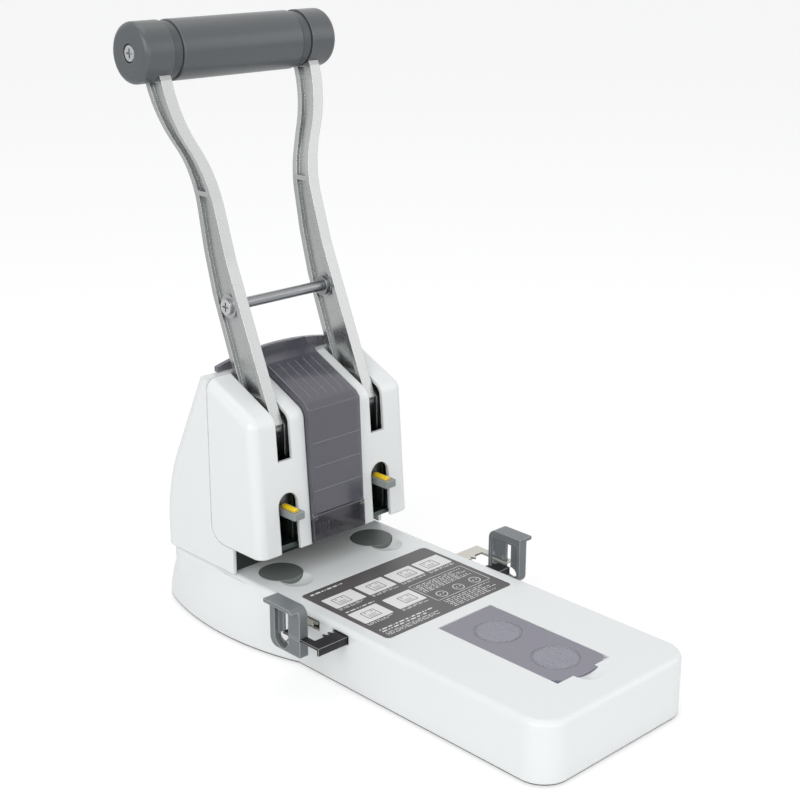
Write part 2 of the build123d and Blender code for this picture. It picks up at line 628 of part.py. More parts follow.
def make_rear_housing():
    half = BASE_HALF_WIDTH
    profile = housing_profile()
    shell = side_sheet(profile, -half, half)

    def back_edges(solid, x):
        return [edge for edge in solid.edges()
                if abs(abs(edge.center().X) - x) < 0.01 and edge.center().Y > 50
                and edge.center().Z > BASE_TOP + 5]

    shell = fillet(back_edges(shell, half), HOUSING_SIDE_RADIUS)
    inner = side_sheet(offset(profile, -WALL), -half + WALL, half - WALL)
    inner = fillet(back_edges(inner, half - WALL), HOUSING_SIDE_RADIUS - WALL)
    shell -= inner
    # Open below, and open to the front for the frame and for the heads.
    low = half - WALL
    shell -= block(-low, low, HOUSING_THROAT_Y - 1, HOUSING_LOW[0] - WALL - 10, 35, BASE_TOP + 5)
    shell -= block(-low, low, HOUSING_THROAT_Y - 1, HEAD_SEAM_Y + 3, 35, 75)
    for side in (-1, 1):
        x0, x1 = sorted((side * (HEAD_INNER_X + WALL), side * low))
        shell -= block(x0, x1, HEAD_SEAM_Y - 1, HEAD_SEAM_Y + 5, 50, 158)
        x = side * HALF_SPACING
        slot = LEVER_SLOT_WIDTH / 2
        shell -= block(x - slot, x + slot, HEAD_SEAM_Y - 1, LEVER_SLOT_REAR, 100, 200)
    for x in HOOD_PEG_PLACES:
        shell -= hood_peg(x, 0.1, 200)
    return shell


def make_rear_hood():
    """Clear arched guard over the crest, behind the lever arms."""
    top = HOOD_TOP
    centre = (0, top - HOOD_ARC_RADIUS)
    disc = Pos(*centre) * Circle(HOOD_ARC_RADIUS)
    sill = HOUSING_CREST[1] + 0.3
    band = Pos(0, (sill + top) / 2) * Rectangle(2 * HOOD_HALF_WIDTH, top - sill)
    face = band & disc
    hood = front_sheet(face, HOOD_FRONT, HOOD_FRONT + HOOD_THICKNESS)
    for x in HOOD_PEG_PLACES:
        hood += hood_peg(x, 0, sill + 1)
    return hood


def hood_peg(x, gap, top):
    """One of the hood's pegs, or its slot when there is a gap all round."""
    half = HOOD_PEG_HALF_WIDTH + gap
    return block(x - half, x + half, HOOD_FRONT + 0.2 - gap, HOOD_FRONT + HOOD_THICKNESS - 0.2 + gap,
                 HOUSING_CREST[1] - HOOD_PEG_DEPTH, top)


# ---------------------------------------------------------------- lever
def lever_silhouette():
    """Side view of one arm, without its hubs, as a face in (Y, Z)."""
    neck = ARM_NECK_HALF_WIDTH
    front = [(CRANK_Y + ARM_TOE[0], CRANK_Z + ARM_TOE[1]), *ARM_FRONT_BENDS,
             (GRIP_Y + ARM_FRONT_NECK[0], GRIP_Z + ARM_FRONT_NECK[1]),
             (GRIP_Y - neck, GRIP_Z), (GRIP_Y - neck + 2, GRIP_Z + 4)]
    rear = [(GRIP_Y + neck - 2, GRIP_Z + 4), (GRIP_Y + neck, GRIP_Z),
            (GRIP_Y + ARM_REAR_NECK[0], GRIP_Z + ARM_REAR_NECK[1]),
            *ARM_REAR_BENDS, *ARM_REAR_LOWER]
    heel = [(PIVOT_Y + 6, PIVOT_Z + 12), (PIVOT_Y - 8, PIVOT_Z + 5),
            (CRANK_Y - 5.5, CRANK_Z - 4), (CRANK_Y - 7.95, CRANK_Z + 2.32)]
    face = polygon(front + rear + heel)
    bends = [face.vertices().sort_by_distance((y, z, 0))[0]
             for y, z in (*ARM_FRONT_BENDS, *ARM_REAR_BENDS)]
    return fillet(bends, ARM_BEND_RADIUS)


def spread_band(half_width):
    """Front view of one arm: straight up, then swept outwards, as a face in (X, Z)."""
    low, high = LEVER_BEND_Z, LEVER_BEND_Z + LEVER_SPREAD_RISE
    middle = (low + high) / 2
    near, far = HALF_SPACING, HALF_SPACING + LEVER_SPREAD
    centre = HALF_SPACING + LEVER_SPREAD / 2
    radius = (centre - near) / 2 + (middle - low) ** 2 / (2 * (centre - near))
    foot, head = CRANK_Z - CRANK_RADIUS - HUB_RADIUS - 5, GRIP_Z + HUB_RADIUS + 5
    lines = []
    for shift in (-half_width, half_width):
        lines.append(Line((near + shift, foot), (near + shift, low)))
        lines.append(RadiusArc((near + shift, low), (centre + shift, middle), radius))
        lines.append(RadiusArc((centre + shift, middle), (far + shift, high), -radius))
        lines.append(Line((far + shift, high), (far + shift, head)))
    lines.append(Line((near - half_width, foot), (near + half_width, foot)))
    lines.append(Line((far - half_width, head), (far + half_width, head)))
    return make_face(Curve() + lines)


def make_lever_arm():
    half = LEVER_WIDTH / 2
    near, far = HALF_SPACING, HALF_SPACING + LEVER_SPREAD
    low_y, high_y = CRANK_Y - 2 * HUB_RADIUS, GRIP_Y + 2 * HUB_RADIUS
    silhouette = lever_silhouette()
    blank = side_sheet(silhouette, near - 10, far + 10)
    arm = blank & front_sheet(spread_band(half), low_y, high_y)
    # Pockets on both faces leave a web between two flanges.
    core = offset(silhouette, -LEVER_FLANGE)
    pocket = side_sheet(core, near - 10, far + 10)
    pocket = pocket & block(0, far + 10, low_y, high_y, ARM_POCKET_BOTTOM,
                            GRIP_Z - HUB_RADIUS - ARM_POCKET_MARGIN)
    pocket -= block(0, far + 10, low_y, high_y, RIB_Z - RIB_THICKNESS / 2,
                    RIB_Z + RIB_THICKNESS / 2)
    pocket -= rod_x(0, far + 10, TIE_ROD_Y, TIE_ROD_Z, TIE_BOSS_RADIUS)
    pocket -= front_sheet(spread_band(LEVER_WEB / 2), low_y, high_y)
    arm -= pocket
    # Hubs for the pivot, the crank pin and the grip core.
    arm += rod_x(near - half, near + half, PIVOT_Y, PIVOT_Z, HUB_RADIUS)
    arm += rod_x(near - half, near + half, CRANK_Y, CRANK_Z, CRANK_LOBE_RADIUS)
    arm += rod_x(near - half, near + half, TIE_ROD_Y, TIE_ROD_Z, TIE_BOSS_RADIUS)
    arm += rod_x(far - half, far + half, GRIP_Y, GRIP_Z, HUB_RADIUS)
    arm -= rod_x(0, 100, PIVOT_Y, PIVOT_Z, PIVOT_RADIUS + SHAFT_FIT)
    arm -= rod_x(0, 100, CRANK_Y, CRANK_Z, CRANK_PIN_RADIUS + SHAFT_FIT)
    arm -= rod_x(0, 100, TIE_ROD_Y, TIE_ROD_Z, 2.5 + SCREW_FIT)
    arm -= rod_x(0, 100, GRIP_Y, GRIP_Z, GRIP_CORE_RADIUS + SCREW_FIT)
    return arm


def make_pivot_shaft():
    x0 = HALF_SPACING - CHEEK_INSIDE - CHEEK_THICKNESS
    x1 = HALF_SPACING + CHEEK_INSIDE + CHEEK_THICKNESS
    shaft = rod_x(x0 - 1, x1 + 1, PIVOT_Y, PIVOT_Z, PIVOT_RADIUS)
    for start, end in ((x0 - 2.5, x0 - 0.1), (x1 + 0.1, x1 + 2.5)):
        shaft += rod_x(start, end, PIVOT_Y, PIVOT_Z, PIVOT_RADIUS + 2)
    return shaft


def make_pivot_bushes():
    bushes = []
    gap = LEVER_WIDTH / 2 + 0.1
    for side in (-1, 1):
        x0, x1 = sorted((HALF_SPACING + side * gap, HALF_SPACING + side * (CHEEK_INSIDE - 0.1)))
        ring = rod_x(x0, x1, PIVOT_Y, PIVOT_Z, PIVOT_RADIUS + 2.4)
        bushes.append(ring - rod_x(x0 - 1, x1 + 1, PIVOT_Y, PIVOT_Z, PIVOT_RADIUS + SHAFT_FIT))
    return bushes


def make_crank_pin():
    end = RAM_HALF_WIDTH - 0.1
    return rod_x(HALF_SPACING - end, HALF_SPACING + end, CRANK_Y, CRANK_Z, CRANK_PIN_RADIUS)


def make_tie_rod():
    inside = HALF_SPACING - LEVER_WIDTH / 2 - 0.05
    rod = rod_x(-inside, inside, TIE_ROD_Y, TIE_ROD_Z, TIE_ROD_RADIUS)
    for side in (-1, 1):
        x0, x1 = sorted((side * (inside - 2.5), side * inside))
        rod += rod_x(x0, x1, TIE_ROD_Y, TIE_ROD_Z, TIE_BOSS_RADIUS - 1)
        x0, x1 = sorted((side * (inside - 14), side * (inside + 1)))
        rod -= rod_x(x0, x1, TIE_ROD_Y, TIE_ROD_Z, 2.5 + SCREW_FIT)
    return rod


def make_tie_screws():
    screws = []
    outside = HALF_SPACING + LEVER_WIDTH / 2 + 0.05
    for side in (-1, 1):
        x0, x1 = sorted((side * (outside - 20), side * outside))
        screw = rod_x(x0, x1, TIE_ROD_Y, TIE_ROD_Z, 2.5)
        x0, x1 = sorted((side * outside, side * (outside + 2.2)))
        head = rod_x(x0, x1, TIE_ROD_Y, TIE_ROD_Z, 5.0)
        end = side * (outside + 2.2)
        recess = Pos(end, TIE_ROD_Y, TIE_ROD_Z) * (Box(2.4, 6, 1.2) + Box(2.4, 1.2, 6))
        screws.append(screw + head - recess)
    return screws


def make_grip_core():
    end = GRIP_HALF_LENGTH - 6
    core = rod_x(-end, end, GRIP_Y, GRIP_Z, GRIP_CORE_RADIUS)
    for side in (-1, 1):
        x0, x1 = sorted((side * (end - 16), side * (end + 1)))
        core -= rod_x(x0, x1, GRIP_Y, GRIP_Z, 3 + SCREW_FIT)
    return core


def make_grip_tube():
    tube = rod_x(-GRIP_TUBE_END, GRIP_TUBE_END, GRIP_Y, GRIP_Z, GRIP_RADIUS)
    ends = [edge for edge in tube.edges() if abs(abs(edge.center().X) - GRIP_TUBE_END) < 0.01]
    tube = fillet(ends, 1)
    return tube - rod_x(-90, 90, GRIP_Y, GRIP_Z, GRIP_CORE_RADIUS + SCREW_FIT)


def make_grip_rings():
    rings = []
    for side in (-1, 1):
        x0, x1 = sorted((side * (GRIP_TUBE_END + GRIP_GAP), side * (GRIP_RING_END - GRIP_GAP)))
        ring = rod_x(x0, x1, GRIP_Y, GRIP_Z, GRIP_RADIUS - 1)
        ring = fillet(ring.edges(), 0.8)
        rings.append(ring - rod_x(-90, 90, GRIP_Y, GRIP_Z, GRIP_CORE_RADIUS + SCREW_FIT))
    return rings


def make_grip_cap():
    cap = rod_x(GRIP_RING_END, GRIP_HALF_LENGTH, GRIP_Y, GRIP_Z, GRIP_RADIUS)
    outer = [edge for edge in cap.edges() if edge.center().X > GRIP_HALF_LENGTH - 0.01]
    cap = fillet(outer, 4)
    # Seat of the arm, which enters from below and in front.
    far = HALF_SPACING + LEVER_SPREAD
    half = LEVER_WIDTH / 2 + 0.2
    cap -= rod_x(far - half - 1, far + half, GRIP_Y, GRIP_Z, HUB_RADIUS + 0.2)
    cap -= side_sheet(offset(lever_silhouette(), 0.2), far - half - 1, far + half)
    cap -= rod_x(0, GRIP_HALF_LENGTH - 5.9, GRIP_Y, GRIP_Z, GRIP_CORE_RADIUS + SCREW_FIT)
    cap -= rod_x(0, 100, GRIP_Y, GRIP_Z, 3 + SCREW_FIT)
    cap -= rod_x(GRIP_HALF_LENGTH - 3, 100, GRIP_Y, GRIP_Z, 6)
    return cap


def make_grip_screws():
    screws = []
    seat = GRIP_HALF_LENGTH - 2.95
    for side in (-1, 1):
        x0, x1 = sorted((side * (seat - 16), side * seat))
        screw = rod_x(x0, x1, GRIP_Y, GRIP_Z, 3)
        x0, x1 = sorted((side * seat, side * (seat + 2.4)))
        screw += rod_x(x0, x1, GRIP_Y, GRIP_Z, 5)
        recess = Pos(side * (seat + 2.4), GRIP_Y, GRIP_Z) * (Box(2.4, 6, 1.2) + Box(2.4, 1.2, 6))
        screws.append(screw - recess)
    return screws


# ---------------------------------------------------------------- rams, punches, locks, springs
def make_ram():
    x = HALF_SPACING
    half = RAM_HALF_WIDTH
    side_view = polygon([(RAM_FRONT, RAM_BOTTOM), (RAM_REAR, RAM_BOTTOM), (RAM_REAR, RAM_TOP),
                         (RAM_FRONT + 4, RAM_TOP), (RAM_FRONT, RAM_TOP - 5)])
    ram = side_sheet(side_view, x - half, x + half)
    foot = block(x - half, x + half, RAM_REAR - 1, SPRING_Y + 5,
                 RAM_FOOT_BOTTOM, RAM_FOOT_BOTTOM + RAM_FOOT_HEIGHT)
    ram += foot
    gap = RAM_FORK_HALF_GAP
    ram -= block(x - gap, x + gap, RAM_FRONT - 1, RAM_REAR + 1, RAM_FORK_FLOOR, RAM_FOOT_BOTTOM)
    ram -= block(x - gap, x + gap, RAM_FRONT - 1, RAM_REAR - 2.5, RAM_FORK_FLOOR, 200)
    ram -= block(x - gap, x + gap, RAM_FRONT - 1, RAM_REAR + 1,
                 RAM_FOOT_BOTTOM + RAM_FOOT_HEIGHT, 200)
    # Cross slot that the crank pin runs in.
    reach = CRANK_PIN_RADIUS + RAM_SLOT_PLAY
    nearest = PIVOT_Y - CRANK_RADIUS
    ram -= block(x - 10, x + 10, nearest, CRANK_Y, CRANK_Z - reach, CRANK_Z + reach)
    for y in (nearest, CRANK_Y):
        ram -= rod_x(x - 10, x + 10, y, CRANK_Z, reach)
    # Chip window towards the bin.
    ram -= block(x - 10, x, 2, 11, RAM_FORK_FLOOR + 1, RAM_FOOT_BOTTOM - 2)
    # Seats of the punch and of its lock.
    ram -= rod_z(0, RAM_FORK_FLOOR + 1, x, PUNCH_Y, PUNCH_RADIUS + SCREW_FIT)
    flange_top = LOCK_TOP_INSIDE + PUNCH_FLANGE_HEIGHT + 0.2
    ram -= rod_z(0, flange_top, x, PUNCH_Y, PUNCH_FLANGE_RADIUS + 0.1)
    ram -= block(x - 3.7, x + 3.7, RAM_FRONT - 1, PUNCH_Y, LOCK_BOTTOM_INSIDE - 0.1,
                 LOCK_TOP_INSIDE + 0.1)
    return ram


def make_punch_pin():
    x = HALF_SPACING
    pin = rod_z(PUNCH_TIP, RAM_FORK_FLOOR - 0.1, x, PUNCH_Y, PUNCH_RADIUS)
    pin += rod_z(LOCK_TOP_INSIDE + 0.15, LOCK_TOP_INSIDE + PUNCH_FLANGE_HEIGHT + 0.1, x, PUNCH_Y,
                 PUNCH_FLANGE_RADIUS)
    return pin - rod_z(0, 200, x, PUNCH_Y, PUNCH_BORE_RADIUS)


def make_punch_lock():
    x = HALF_SPACING
    half = LOCK_HALF_WIDTH
    plate = block(x - half, x + half, LOCK_TIP, RAM_FRONT - 0.1, RAM_BOTTOM, RAM_BOTTOM + LOCK_HEIGHT)
    plate = fillet([e for e in plate.edges().filter_by(Axis.Z) if e.center().Y < LOCK_TIP + 1], 1.5)
    tongue = block(x - 3.6, x + 3.6, RAM_FRONT - 1, PUNCH_Y - 0.1, LOCK_BOTTOM_INSIDE, LOCK_TOP_INSIDE)
    tongue -= rod_z(0, 200, x, PUNCH_Y, PUNCH_RADIUS + 0.35)
    mark_z = RAM_BOTTOM + LOCK_HEIGHT
    seat = rod_y(LOCK_MARK_FRONT - 0.1, LOCK_MARK_REAR + 0.1, x, mark_z, LOCK_MARK_RADIUS + 0.1)
    return plate + tongue - seat


def make_lock_mark():
    mark_z = RAM_BOTTOM + LOCK_HEIGHT
    mark = rod_y(LOCK_MARK_FRONT, LOCK_MARK_REAR, HALF_SPACING, mark_z, LOCK_MARK_RADIUS)
    return fillet(mark.edges().filter_by(GeomType.CIRCLE), 0.8)


def make_return_spring():
    bottom = GUIDE_PLATE_TOP + 0.15 + SPRING_WIRE_RADIUS
    height = RAM_FOOT_BOTTOM - 0.15 - SPRING_WIRE_RADIUS - bottom
    path = Helix(height / SPRING_TURNS, height, SPRING_RADIUS)
    start = path @ 0
    section = Plane(start, z_dir=path % 0) * Circle(SPRING_WIRE_RADIUS)
    return Pos(HALF_SPACING, SPRING_Y, bottom) * sweep(section, path, is_frenet=True)


# ---------------------------------------------------------------- chip bin
def bin_profile(inset):
    """Side view of the bin as a face in (Y, Z), above its door."""
    outline = [(bin_front_y(BIN_BOTTOM), BIN_BOTTOM), BIN_FRONT_TOP, BIN_BROW, BIN_RAMP_FOOT]
    if inset:
        outline += [(BIN_REAR, BIN_RAMP_FOOT[1] + 4), (BIN_REAR, BIN_BOTTOM)]
        return offset(polygon(outline), -inset, kind=Kind.INTERSECTION)
    lip_bottom = HOUSING_CREST[1] + 1.2
    outline += [(BIN_LIP_Y, HOOD_TOP - 0.6), (BIN_LIP_Y, lip_bottom), (BIN_REAR, lip_bottom),
                (BIN_REAR, BIN_BOTTOM)]
    face = polygon(outline)
    brow = [v for v in face.vertices() if abs(v.X - BIN_BROW[0]) < 0.1 and v.Y > 100]
    face = fillet(brow, 3)
    ramp = [v for v in face.vertices() if abs(v.X - BIN_RAMP_FOOT[0]) < 0.1]
    return fillet(ramp, 8)


def make_chip_bin():
    half = BIN_HALF_WIDTH
    shell = side_sheet(bin_profile(0), -half, half)
    corners = [e for e in shell.edges() if abs(abs(e.center().X) - half) < 0.01
               and e.center().Y < BIN_RAMP_FOOT[0] and e.center().Z > BIN_BOTTOM + 1]
    shell = fillet(corners, 1.2)
    shell -= side_sheet(bin_profile(BIN_WALL), -half + BIN_WALL, half - BIN_WALL)
    # The door closes the lower front.
    shell -= block(-half - 1, half + 1, -20, DOOR_HINGE_Y + DOOR_BARREL_RADIUS + 1.5,
                   BIN_BOTTOM - 5, DOOR_TOP + DOOR_GAP)
    for side in (-1, 1):
        # Lug that carries one end of the door's pin.
        x0, x1 = sorted((side * half, side * (half - DOOR_LUG_WIDTH)))
        lug = rod_x(x0, x1, DOOR_HINGE_Y, DOOR_HINGE_Z, DOOR_BARREL_RADIUS)
        lug += block(x0, x1, DOOR_HINGE_Y - 0.5, DOOR_HINGE_Y + DOOR_BARREL_RADIUS,
                     DOOR_HINGE_Z, DOOR_TOP + DOOR_GAP + 1)
        shell += lug
        # Chip window in the side wall.
        x0, x1 = sorted((side * (half - BIN_WALL - 1), side * (half + 1)))
        shell -= block(x0, x1, *CHIP_WINDOW_Y, DOOR_TOP + 6, CHIP_WINDOW_Z[1])
    reach = half - DOOR_LUG_WIDTH / 3
    return shell - rod_x(-reach, reach, DOOR_HINGE_Y, DOOR_HINGE_Z, DOOR_PIN_RADIUS + SCREW_FIT)


def bin_front_y(z):
    """Where the bin's leaning front face is at a height."""
    return BIN_FRONT_BOTTOM_Y + BIN_LEAN * (z - THROAT_TOP)


def make_chip_door():
    half = BIN_HALF_WIDTH
    foot, head = bin_front_y(DOOR_BOTTOM), bin_front_y(DOOR_HINGE_Z)
    thick = 2 * DOOR_BARREL_RADIUS
    outline = polygon([(foot, DOOR_BOTTOM + 1), (foot + 1, DOOR_BOTTOM),
                       (foot + thick, DOOR_BOTTOM), (head + thick, DOOR_HINGE_Z),
                       (head, DOOR_HINGE_Z)])
    door = side_sheet(outline, -half, half)
    door += rod_x(-half, half, DOOR_HINGE_Y, DOOR_HINGE_Z, DOOR_BARREL_RADIUS)
    for side in (-1, 1):
        x0, x1 = sorted((side * (half + 1), side * (half - DOOR_LUG_WIDTH - DOOR_GAP)))
        door -= rod_x(x0, x1, DOOR_HINGE_Y, DOOR_HINGE_Z, DOOR_BARREL_RADIUS + DOOR_GAP)
        door -= block(x0, x1, head - 3, head + thick + 3, DOOR_HINGE_Z, DOOR_TOP + 1)
    return door - rod_x(-half, half, DOOR_HINGE_Y, DOOR_HINGE_Z, DOOR_PIN_RADIUS + SHAFT_FIT)


def make_door_pin():
    half = BIN_HALF_WIDTH - DOOR_LUG_WIDTH / 3 - 0.2
    return rod_x(-half, half, DOOR_HINGE_Y, DOOR_HINGE_Z, DOOR_PIN_RADIUS)


# ---------------------------------------------------------------- paper guides
def rack_tooth(x):
    """One rack tooth as a face in (X, Y), pointing to +Y from the root line."""
    flank = math.tan(math.radians(PRESSURE_ANGLE))
    half_pitch = MODULE * math.pi / 4 - BACKLASH / 4
    tip = half_pitch - MODULE * flank
    root_depth = 1.25 * MODULE
    root = half_pitch + root_depth * flank
    y = RACK_PITCH_Y
    return polygon([(x - root, y - root_depth - 0.2), (x + root, y - root_depth - 0.2),
                    (x + root, y - root_depth), (x + tip, y + MODULE), (x - tip, y + MODULE),
                    (x - root, y - root_depth)])


def make_rack():
    """The left guide's rack; its L-section front flange stiffens it."""
    root_y = RACK_PITCH_Y - 1.25 * MODULE
    bottom = RACK_TOP - RACK_THICKNESS
    plate = block(RACK_END_X, RACK_TAIL_X, RACK_FRONT, root_y, bottom, RACK_TOP)
    plate += block(RACK_END_X, RACK_TAIL_X, RACK_FRONT, RACK_FRONT + RACK_THICKNESS,
                   RACK_TOP - RACK_FLANGE_DROP, RACK_TOP)
    pitch = math.pi * MODULE
    first = round((FENCE_X + 6) / pitch)
    last = round((RACK_TAIL_X - 4) / pitch)
    teeth = [plan_sheet(rack_tooth((n + 0.5) * pitch), bottom, RACK_TOP)
             for n in range(first, last)]
    plate += teeth
    # Foot that runs back inside the fence, with two screw holes.
    plate += block(RACK_END_X, FENCE_X - 0.6, root_y - 1, RACK_FOOT_REAR, bottom, RACK_TOP)
    for y in RACK_SCREW_ROWS:
        plate -= rod_z(0, 100, RACK_SCREW_X, y, SMALL_SCREW_RADIUS + SCREW_FIT)
    return plate


def make_fence():
    """The left paper guide that the sheet edge rests against."""
    outline = polygon([(FENCE_FRONT, FENCE_BOTTOM), (FENCE_REAR, FENCE_BOTTOM),
                       (FENCE_REAR, FENCE_TOP), (FENCE_FRONT, FENCE_TOP)])
    corner = outline.vertices().sort_by_distance((FENCE_FRONT, FENCE_TOP, 0))[0]
    outline = fillet(corner, FENCE_CORNER_RADIUS)
    heel = outline.vertices().sort_by_distance((FENCE_REAR, FENCE_BOTTOM, 0))[0]
    outline = fillet(heel, FENCE_CORNER_RADIUS)
    outside = FENCE_X - FENCE_THICKNESS
    fence = side_sheet(outline, outside, FENCE_X)
    rim = side_sheet(outline, outside - FENCE_LIP, FENCE_X)
    rim = rim & block(-200, 0, -200, 200, FENCE_TOP - FENCE_LIP_THICKNESS, FENCE_TOP + 1)
    fence += rim
    # Window from the outside and rimmed recess from the inside, with a web between them.
    front, rear = FENCE_WINDOW
    radius = (rear - front) / 2
    middle = (front + rear) / 2
    low = FENCE_BOTTOM + 1.2 + radius
    web_inside = FENCE_X - FENCE_RECESS_DEPTH
    web_outside = web_inside - FENCE_WEB
    fence -= block(outside - 1, web_outside, front, rear, low, FENCE_WINDOW_TOP)
    fence -= rod_x(outside - 1, web_outside, middle, low, radius)
    recess = block(web_inside, FENCE_X + 1, FENCE_FRONT + FENCE_RIM, FENCE_REAR - FENCE_RIM,
                   FENCE_BOTTOM + FENCE_RIM, FENCE_TOP - FENCE_LIP_THICKNESS - FENCE_RIM)
    fence -= fillet(recess.edges().filter_by(Axis.X), FENCE_CORNER_RADIUS - FENCE_RIM)
    # Keyhole through the web: a round hole with a slot above it.
    hole_y, hole_z = FENCE_HOLE
    fence -= rod_x(web_outside - 1, web_inside + 1, hole_y, hole_z, FENCE_HOLE_RADIUS)
    fence -= block(web_outside - 1, web_inside + 1, *FENCE_SLOT, hole_z, FENCE_SLOT_TOP)
    # Slot that receives the rack foot, and its screw holes.
    foot_slot = block(RACK_END_X - 0.1, FENCE_X - 0.5, FENCE_FRONT - 1, RACK_FOOT_REAR + 0.1,
                      RACK_TOP - RACK_THICKNESS - 0.05, RACK_TOP + 0.05)
    fence -= foot_slot
    for y in RACK_SCREW_ROWS:
        fence -= rod_z(0, RACK_TOP + 4, RACK_SCREW_X, y, SMALL_SCREW_RADIUS + SCREW_FIT)
        fence -= rod_z(0, RACK_TOP - RACK_THICKNESS - 4, RACK_SCREW_X, y, SMALL_HEAD_RADIUS - 0.4)
    return fence


def make_fence_screws():
    screws = []
    head = RACK_TOP - RACK_THICKNESS - 4.1
    for y in RACK_SCREW_ROWS:
        shank = rod_z(head, RACK_TOP + 3.5, RACK_SCREW_X, y, SMALL_SCREW_RADIUS)
        screws.append(shank + rod_z(head - 1.4, head, RACK_SCREW_X, y, 2.4))
    return screws


def make_pinion():
    """Involute pinion; each flank is drawn through points worked out from its base circle."""
    base = PITCH_RADIUS * math.cos(math.radians(PRESSURE_ANGLE))
    tip = PITCH_RADIUS + MODULE
    root = PITCH_RADIUS - 1.25 * MODULE

    def roll_angle(radius):
        turn = math.acos(min(1, base / radius))
        return math.tan(turn) - turn

    half_tooth = math.pi / (2 * PINION_TEETH) - BACKLASH / (4 * PITCH_RADIUS)
    flank = []
    for step in range(5):
        radius = base + (tip - base) * step / 4
        flank.append((radius, half_tooth + roll_angle(PITCH_RADIUS) - roll_angle(radius)))
    flank.insert(0, (root, flank[0][1]))
    outline = []
    for tooth in range(PINION_TEETH):
        middle = tooth * 2 * math.pi / PINION_TEETH + math.pi / 2
        for radius, half in flank:
            outline.append((radius * math.cos(middle - half), radius * math.sin(middle - half)))
        for radius, half in reversed(flank):
            outline.append((radius * math.cos(middle + half), radius * math.sin(middle + half)))
    middle_z = RACK_TOP - RACK_THICKNESS / 2
    wheel = plan_sheet(polygon(outline), middle_z - PINION_THICKNESS / 2,
                       middle_z + PINION_THICKNESS / 2)
    wheel = Pos(0, PINION_Y, 0) * wheel
    return wheel - rod_z(0, 100, 0, PINION_Y, PINION_STUD_RADIUS + SHAFT_FIT)


def make_pinion_stud():
    stud = rod_z(TRAY_TOP - TRAY_THICKNESS - 1, CEILING - 0.3, 0, PINION_Y, PINION_STUD_RADIUS)
    return stud + rod_z(TRAY_TOP - TRAY_THICKNESS - 1.5, TRAY_TOP - TRAY_THICKNESS - 0.05, 0,
                        PINION_Y, PINION_STUD_RADIUS + 2)


def make_rack_tray():
    """Floor under both racks, hung from the base cover."""
    half = BASE_HALF_WIDTH - WALL - TRAY_GAP
    front = RACK_FRONT - TRAY_MARGIN
    rear = 2 * PINION_Y - front
    tray = block(-half, half, front, rear, TRAY_TOP - TRAY_THICKNESS, TRAY_TOP)
    tray += rod_z(TRAY_TOP - TRAY_THICKNESS, 34.2, 0, PINION_Y, PINION_STUD_RADIUS + 2)
    for x, y in TRAY_SCREWS:
        near, far = sorted((y, front + 2 if y < PINION_Y else rear - 2))
        tray += block(x - TRAY_EAR_RADIUS, x + TRAY_EAR_RADIUS, near, far,
                      TRAY_TOP - TRAY_THICKNESS, TRAY_TOP)
        tray += rod_z(TRAY_TOP - TRAY_THICKNESS, TRAY_TOP, x, y, TRAY_EAR_RADIUS)
        tray -= rod_z(0, 100, x, y, SMALL_SCREW_RADIUS + SCREW_FIT)
    return tray - rod_z(0, 100, 0, PINION_Y, PINION_STUD_RADIUS + 0.02)


def make_tray_screws():
    return [screw_z(x, y, TRAY_TOP - TRAY_THICKNESS - 0.05, CEILING - 1) for x, y in TRAY_SCREWS]


# ---------------------------------------------------------------- lid, boards, label
def make_cutting_board(x):
    board = rod_z(BOARD_TOP - BOARD_THICKNESS, BOARD_TOP, x, 0, BOARD_RADIUS)
    return chamfer(board.edges().filter_by(GeomType.CIRCLE), 0.3)


def make_spare_boards():
    boards = []
    for y in SPARE_ROWS:
        board = rod_z(STORE_FLOOR + 0.1, STORE_FLOOR + BOARD_THICKNESS, 0, y, BOARD_RADIUS)
        boards.append(chamfer(board.edges().filter_by(GeomType.CIRCLE), 0.3))
    return boards


def make_lid():
    half = LID_HALF_WIDTH
    top = BASE_TOP
    bottom = BASE_TOP - LID_THICKNESS
    lid = block(-half, half, LID_FRONT, LID_AXIS_Y, bottom, top)
    front = [e for e in lid.edges().filter_by(Axis.Z) if e.center().Y < LID_FRONT + 1]
    lid = chamfer(front, LID_CORNER)
    lid += block(-LID_TAB_HALF_WIDTH, LID_TAB_HALF_WIDTH, LID_FRONT - LID_TAB_LENGTH, LID_FRONT + 1,
                 bottom, top)
    lid += rod_x(-half, half, LID_AXIS_Y, LID_AXIS_Z, LID_BARREL_RADIUS)
    pin_end = half + LID_PIN_LENGTH
    lid += rod_x(-pin_end, pin_end, LID_AXIS_Y, LID_AXIS_Z, LID_PIN_RADIUS)
    for y in SPARE_ROWS:
        ring = rod_z(top - 0.5, top + 1, 0, y, LID_RING_RADIUS)
        lid -= ring - rod_z(0, 100, 0, y, LID_RING_RADIUS - LID_RING_WIDTH)
    return lid


def make_label():
    face = Pos(0, (LABEL_FRONT + LABEL_REAR) / 2) * RectangleRounded(
        2 * LABEL_HALF_WIDTH, LABEL_REAR - LABEL_FRONT, LABEL_CORNER_RADIUS)
    return plan_sheet(face, BASE_TOP - LABEL_THICKNESS + 0.05, BASE_TOP + 0.05)


